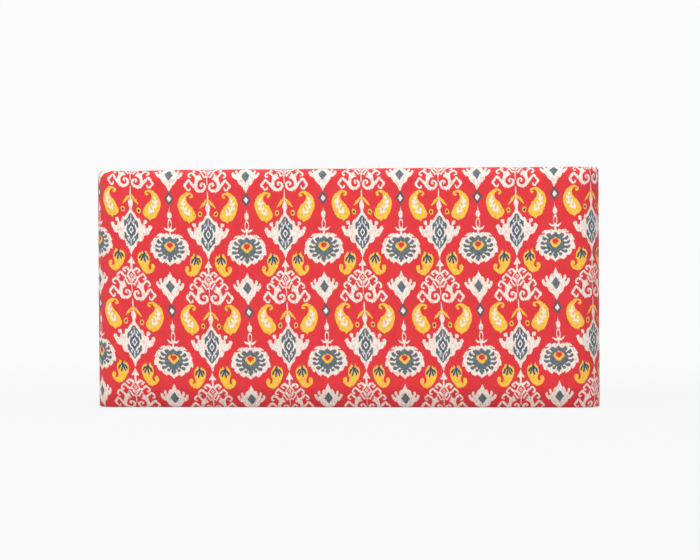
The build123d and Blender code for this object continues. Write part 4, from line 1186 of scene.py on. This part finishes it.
class BENCH_OT_cover(bpy.types.Operator):
    """Stretch the printed cover over front, seat, back and ends"""

    bl_idname = "bench.cover"
    bl_label = "Printed Cover"

    def execute(self, context):
        size = context.scene.bench_sizes
        seam_y = size.depth / 2 - size.corner - size.seam_step
        layers = drawn_cell(context.scene.bench_print.along / context.scene.bench_print.across * CELL)
        material = printed_cloth()
        for step, front in ((size.front_step, True), (size.cloth_step, False)):
            block = Block(0.0, step, seam_y)
            pillow(block)
            normals = vertex_normals(block.points, block.quads)
            trip, rise = 2 * block.seam_walk, size.hem_in + COVER_HIGH.z
            for name, panel, (start, end), node, under, flat in self.panels(size, seam_y, trip, rise):
                if (panel == FRONT) == front:
                    keep = (block.panel == panel) & (block.quad_walk >= start) & (block.quad_walk < end)
                    piece = cover_panel(block, normals, panel, keep, name, material, layers)
                    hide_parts(node)
        return {"FINISHED"}

    def panels(self, size, seam_y, trip, rise):
        """Name, panel, stretch of the walk, CAD node, what it rests on, and flat size.

        The front is one cloth, in three pieces only to keep each mesh small; no seam shows.
        """
        third, all_round = (trip / 3, rise), (-math.inf, math.inf)
        over = size.length + SEAT_RUN_OVER
        return (
            ("front_cover_left", FRONT, (-math.inf, -trip / 6), "wrap_cover", "batting", third),
            ("front_cover_middle", FRONT, (-trip / 6, trip / 6), "wrap_cover", "batting", third),
            ("front_cover_right", FRONT, (trip / 6, math.inf), "wrap_cover", "batting", third),
            ("seat_cover", SEAT, all_round, "wrap_cover", "batting", (over, size.depth)),
            ("back_cover", BACK, all_round, "wrap_cover", "batting", (trip, rise)),
            ("right_end_panel", RIGHT, all_round, "right_end_cover", "right_wadding", (2 * seam_y, rise)),
            ("left_end_panel", LEFT, all_round, "left_end_cover", "left_wadding", (2 * seam_y, rise)),
        )


class BENCH_OT_padding(bpy.types.Operator):
    """Lay batting and foam under the cover, and the deck cloth over the springs"""

    bl_idname = "bench.padding"
    bl_label = "Padding"

    def execute(self, context):
        size = context.scene.bench_sizes
        seam_y = size.depth / 2 - size.corner - size.seam_step
        wadding = shaded("wadding", mottled("F1EFEA", "E2DFD8", 500.0, 0.8), 0.95)
        foam = shaded("foam", mottled("EEDCA8", "E3CC8E", 1600.0, 0.7), 0.9)
        low = BATTING_LOW.z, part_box("right_end_batting")[0].z
        outer, inner = self.skins(BATTING_OUTSIDE, BATTING_INSIDE, seam_y, low)
        for name, node, panels in (
            ("batting", "batting_wrap", (FRONT, BACK, SEAT)),
            ("right_wadding", "right_end_batting", (RIGHT,)),
            ("left_wadding", "left_end_batting", (LEFT,)),
        ):
            keep = np.isin(outer.panel, panels)
            padding_layer(name, outer, inner, keep, wadding, node, BATTING_LUMPS)
        front_low, front_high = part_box("front_foam")
        end_low, end_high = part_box("right_end_foam")
        low = front_low.z, end_low.z
        outer, inner = self.skins(FOAM_OUTSIDE, FOAM_INSIDE, end_high.y, low)
        below = outer.points[outer.quads][..., 2].max(axis=1) < front_high.z
        for name, node, panel in (
            ("front_foam_wall", "front_foam", FRONT), ("back_foam_wall", "back_foam", BACK),
            ("right_foam_wall", "right_end_foam", RIGHT), ("left_foam_wall", "left_end_foam", LEFT),
        ):
            keep = (outer.panel == panel) & below
            padding_layer(name, outer, inner, keep, foam, node, FOAM_LUMPS)
        self.seat(seam_y, foam)
        self.deck()
        return {"FINISHED"}

    def skins(self, outside, inside, seam_y, low):
        """Two blocks of the same mesh, at two depths under the cover."""
        outer, inner = (Block(inset, PADDING_STEP, seam_y, low, FRAME_LOW) for inset in (outside, inside))
        if len(outer.points) != len(inner.points):
            raise RuntimeError("the two skins of a padded layer have different meshes")
        return outer, inner

    def seat(self, seam_y, foam):
        """Seat foam: walls from the rail's top up, the crowned seat, and an underside.

        The underside is level, with an arch of height 1 - (y / half)^2 over the deck cloth.
        """
        foot = SEAT_FOAM_LOW.z + LIFT
        block = Block(CUSHION_OUTSIDE, PADDING_STEP, seam_y, (foot, foot))
        grid, sides = block.filled(block.rows[0])
        half = (DECK_HIGH.y - DECK_LOW.y) / 2
        arch = DECK_HIGH.z - SEAT_FOAM_LOW.z + DECK_CLEAR
        lift = np.clip(1 - (grid[..., 1] / half) ** 2, 0, 1) * arch
        inside = (np.abs(grid[..., 0]) < DECK_HIGH.x) & (np.abs(grid[..., 1]) < half)
        grid[..., 2] = block.rows[0, 0, 2] + np.where(inside, lift, 0)
        index, inner = grid_numbers(grid.shape[:2], sides, len(block.points))
        points = np.vstack([block.points, grid[inner]])
        quads = np.vstack([block.quads, grid_quads(index)[:, [0, 3, 2, 1]]])
        piece = new_piece("seat_cushion", points, quads, foam)
        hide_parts("seat_foam")

    def deck(self):
        """Deck cloth: an arch 1 - (y / half)^2, which dips by a cosine of x between the springs."""
        x, y = level_grid(DECK_LOW, DECK_HIGH, DECK_POINTS)
        rise = DECK_HIGH.z - DECK_LOW.z
        z = DECK_LOW.z + rise * (1 - (y / DECK_HIGH.y) ** 2) - DECK_CLEAR
        dips = 1 - np.cos(2 * math.pi * x / DECK_DIP_SPACING)
        z -= DECK_DIP * dips * np.clip(1 - (y / DECK_HIGH.y) ** 2, 0, 1)
        jute = shaded("jute", woven("B08F5F", "94744A", 450.0), 0.9)
        piece = flat_mapped("deck_sheet", x, y, z, jute)
        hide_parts("deck_cloth")


class BENCH_OT_underside(bpy.types.Operator):
    """Close the underside with the dust cover"""

    bl_idname = "bench.underside"
    bl_label = "Underside"

    def execute(self, context):
        # The sag is a smooth step of the way in from the edge, and the folds are a sine along it
        x, y = level_grid(DUST_LOW, DUST_HIGH, DUST_POINTS)
        edge = np.minimum(DUST_HIGH.x - np.abs(x), DUST_HIGH.y - np.abs(y))
        sag = smooth_step(edge / DUST_SAG_RUN)
        folds = DUST_FOLD * np.sin(2 * math.pi * x / DUST_FOLD_SPACING) * np.exp(-edge / DUST_FOLD_RUN)
        z = DUST_LOW.z + LIFT - DUST_SAG * sag + folds * smooth_step(edge / DUST_FLAT_EDGE)
        cloth = shaded("dust cloth", woven("2A2A2C", "1E1E20", 700.0), 0.9)
        piece = flat_mapped("dust_sheet", x, y, z, cloth, flip=True)
        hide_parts("dust_cover")
        return {"FINISHED"}


class BENCH_OT_studio(bpy.types.Operator):
    """Set the pale sweep, the soft lamps and the camera"""

    bl_idname = "bench.studio"
    bl_label = "Studio"

    def execute(self, context):
        values = context.scene.bench_studio
        self.sweep()
        self.sky(values.sky)
        for name, place, size, power in (
            ("key", (-0.5, -2.2, 3.6), 2.6, values.key),
            ("left fill", (-3.0, -3.2, 1.2), 2.2, values.fill),
            ("right fill", (3.2, -3.0, 1.2), 2.2, values.fill),
        ):
            light = bpy.data.lights.new(name, "AREA")
            light.size = size
            light.energy = power
            lamp = bpy.data.objects.new(name, light)
            lamp.location = place
            lamp.rotation_euler = (LAMPS_AIM - Vector(place)).to_track_quat("-Z", "Y").to_euler()
            context.scene.collection.objects.link(lamp)
        self.camera(context, values.focal)
        context.scene.view_settings.view_transform = "Standard"
        return {"FINISHED"}

    def sweep(self):
        """Floor and wall in one sheet: flat, a quarter round of 1 m, then upright."""
        angle = np.linspace(0, math.pi / 2, 24)
        y = np.concatenate([[-SWEEP_REACH], SWEEP_BACK + np.sin(angle), [SWEEP_BACK + 1.0]])
        z = np.concatenate([[0.0], 1.0 - np.cos(angle), [SWEEP_HEIGHT]])
        x = np.array([-SWEEP_REACH, SWEEP_REACH])
        points = np.column_stack([np.tile(x, len(y)), np.repeat(y, 2), np.repeat(z, 2)])
        quads = grid_quads(np.arange(len(points)).reshape(-1, 2))
        mesh = bpy.data.meshes.new("sweep")
        mesh.from_pydata(points.tolist(), [], quads.tolist())
        mesh.update()
        mesh.shade_smooth()
        sweep = bpy.data.objects.new("sweep", mesh)
        bpy.context.scene.collection.objects.link(sweep)
        material = bpy.data.materials.new("paper sweep")
        material.use_nodes = True
        graph = Graph(material.node_tree)
        back = graph.node("ShaderNodeSeparateXYZ", {0: graph.place()}).outputs[1]
        # painted shade: the glow darkens towards the front of the floor
        tone = graph.ramp(back, low=-0.2, high=2.5)
        colour = graph.mix(tone, FLOOR_WHITE, BACK_WHITE)
        paint = graph.node("ShaderNodeBsdfDiffuse", {"Color": SWEEP_GREY}).outputs[0]
        glow = graph.node("ShaderNodeEmission", {"Color": colour, "Strength": 1.0}).outputs[0]
        seen = graph.node("ShaderNodeMixShader", {0: SWEEP_GLOW, 1: paint, 2: glow}).outputs[0]
        both = graph.node("ShaderNodeMixShader", {0: self.seen_rays(graph), 1: paint, 2: seen}).outputs[0]
        graph.node("ShaderNodeOutputMaterial", {0: both})
        mesh.materials.append(material)

    @staticmethod
    def seen_rays(graph):
        """1 for rays that show the backdrop to the camera, straight or through a gloss, else 0."""
        path = graph.node("ShaderNodeLightPath").outputs
        clear = graph.math("MAXIMUM", path["Is Glossy Ray"], path["Is Transmission Ray"])
        return graph.math("MAXIMUM", path["Is Camera Ray"], clear)

    def sky(self, strength):
        """White to the camera, and an even light of the given strength to everything else."""
        world = bpy.data.worlds.new("sky")
        world.use_nodes = True
        graph = Graph(world.node_tree)
        shown = graph.ramp(self.seen_rays(graph), low=0.0, high=1.0, start=strength)
        light = graph.node("ShaderNodeBackground", {"Color": (1, 1, 1, 1), "Strength": shown}).outputs[0]
        graph.node("ShaderNodeOutputWorld", {0: light})
        bpy.context.scene.world = world

    def camera(self, context, focal):
        """Almost square on: four metres in front, a little to the right of the middle and above it."""
        data = bpy.data.cameras.new("camera")
        data.lens = focal
        camera = bpy.data.objects.new("camera", data)
        turn = (AIM - EYE).to_track_quat("-Z", "Y").to_matrix().to_4x4()
        camera.matrix_world = Matrix.Translation(EYE) @ turn @ Matrix.Rotation(ROLL, 4, "Z")
        context.scene.collection.objects.link(camera)
        context.scene.camera = camera


class BENCH_PT_panel(bpy.types.Panel):
    """Sizes, colours and the steps that build the bench"""

    bl_idname = "BENCH_PT_panel"
    bl_label = "Upholstered Bench"
    bl_space_type = "VIEW_3D"
    bl_region_type = "UI"
    bl_category = "Bench"

    def draw(self, context):
        for label in GROUPS:
            group = getattr(context.scene, label)
            column = self.layout.column(align=True)
            for name in group.bl_rna.properties.keys():
                if name not in {"rna_type", "name"}:
                    column.prop(group, name)
        for operator in OPERATORS:
            self.layout.operator(operator.bl_idname)


GROUPS = {
    "bench_sizes": BenchSizes,
    "bench_print": PrintSizes,
    "bench_colours": ClothColours,
    "bench_studio": StudioValues,
}
OPERATORS = (BENCH_OT_finishes, BENCH_OT_cover, BENCH_OT_padding, BENCH_OT_underside, BENCH_OT_studio)


def register():
    for group in GROUPS.values():
        bpy.utils.register_class(group)
    for name, group in GROUPS.items():
        setattr(bpy.types.Scene, name, PointerProperty(type=group))
    for operator in OPERATORS:
        bpy.utils.register_class(operator)
    bpy.utils.register_class(BENCH_PT_panel)


def unregister():
    bpy.utils.unregister_class(BENCH_PT_panel)
    for operator in reversed(OPERATORS):
        bpy.utils.unregister_class(operator)
    for name in GROUPS:
        delattr(bpy.types.Scene, name)
    for group in reversed(GROUPS.values()):
        bpy.utils.unregister_class(group)


def main():
    register()
    bpy.ops.bench.finishes()
    bpy.ops.bench.cover()
    bpy.ops.bench.padding()
    bpy.ops.bench.underside()
    bpy.ops.bench.studio()


if __name__ == "__main__":
    main()
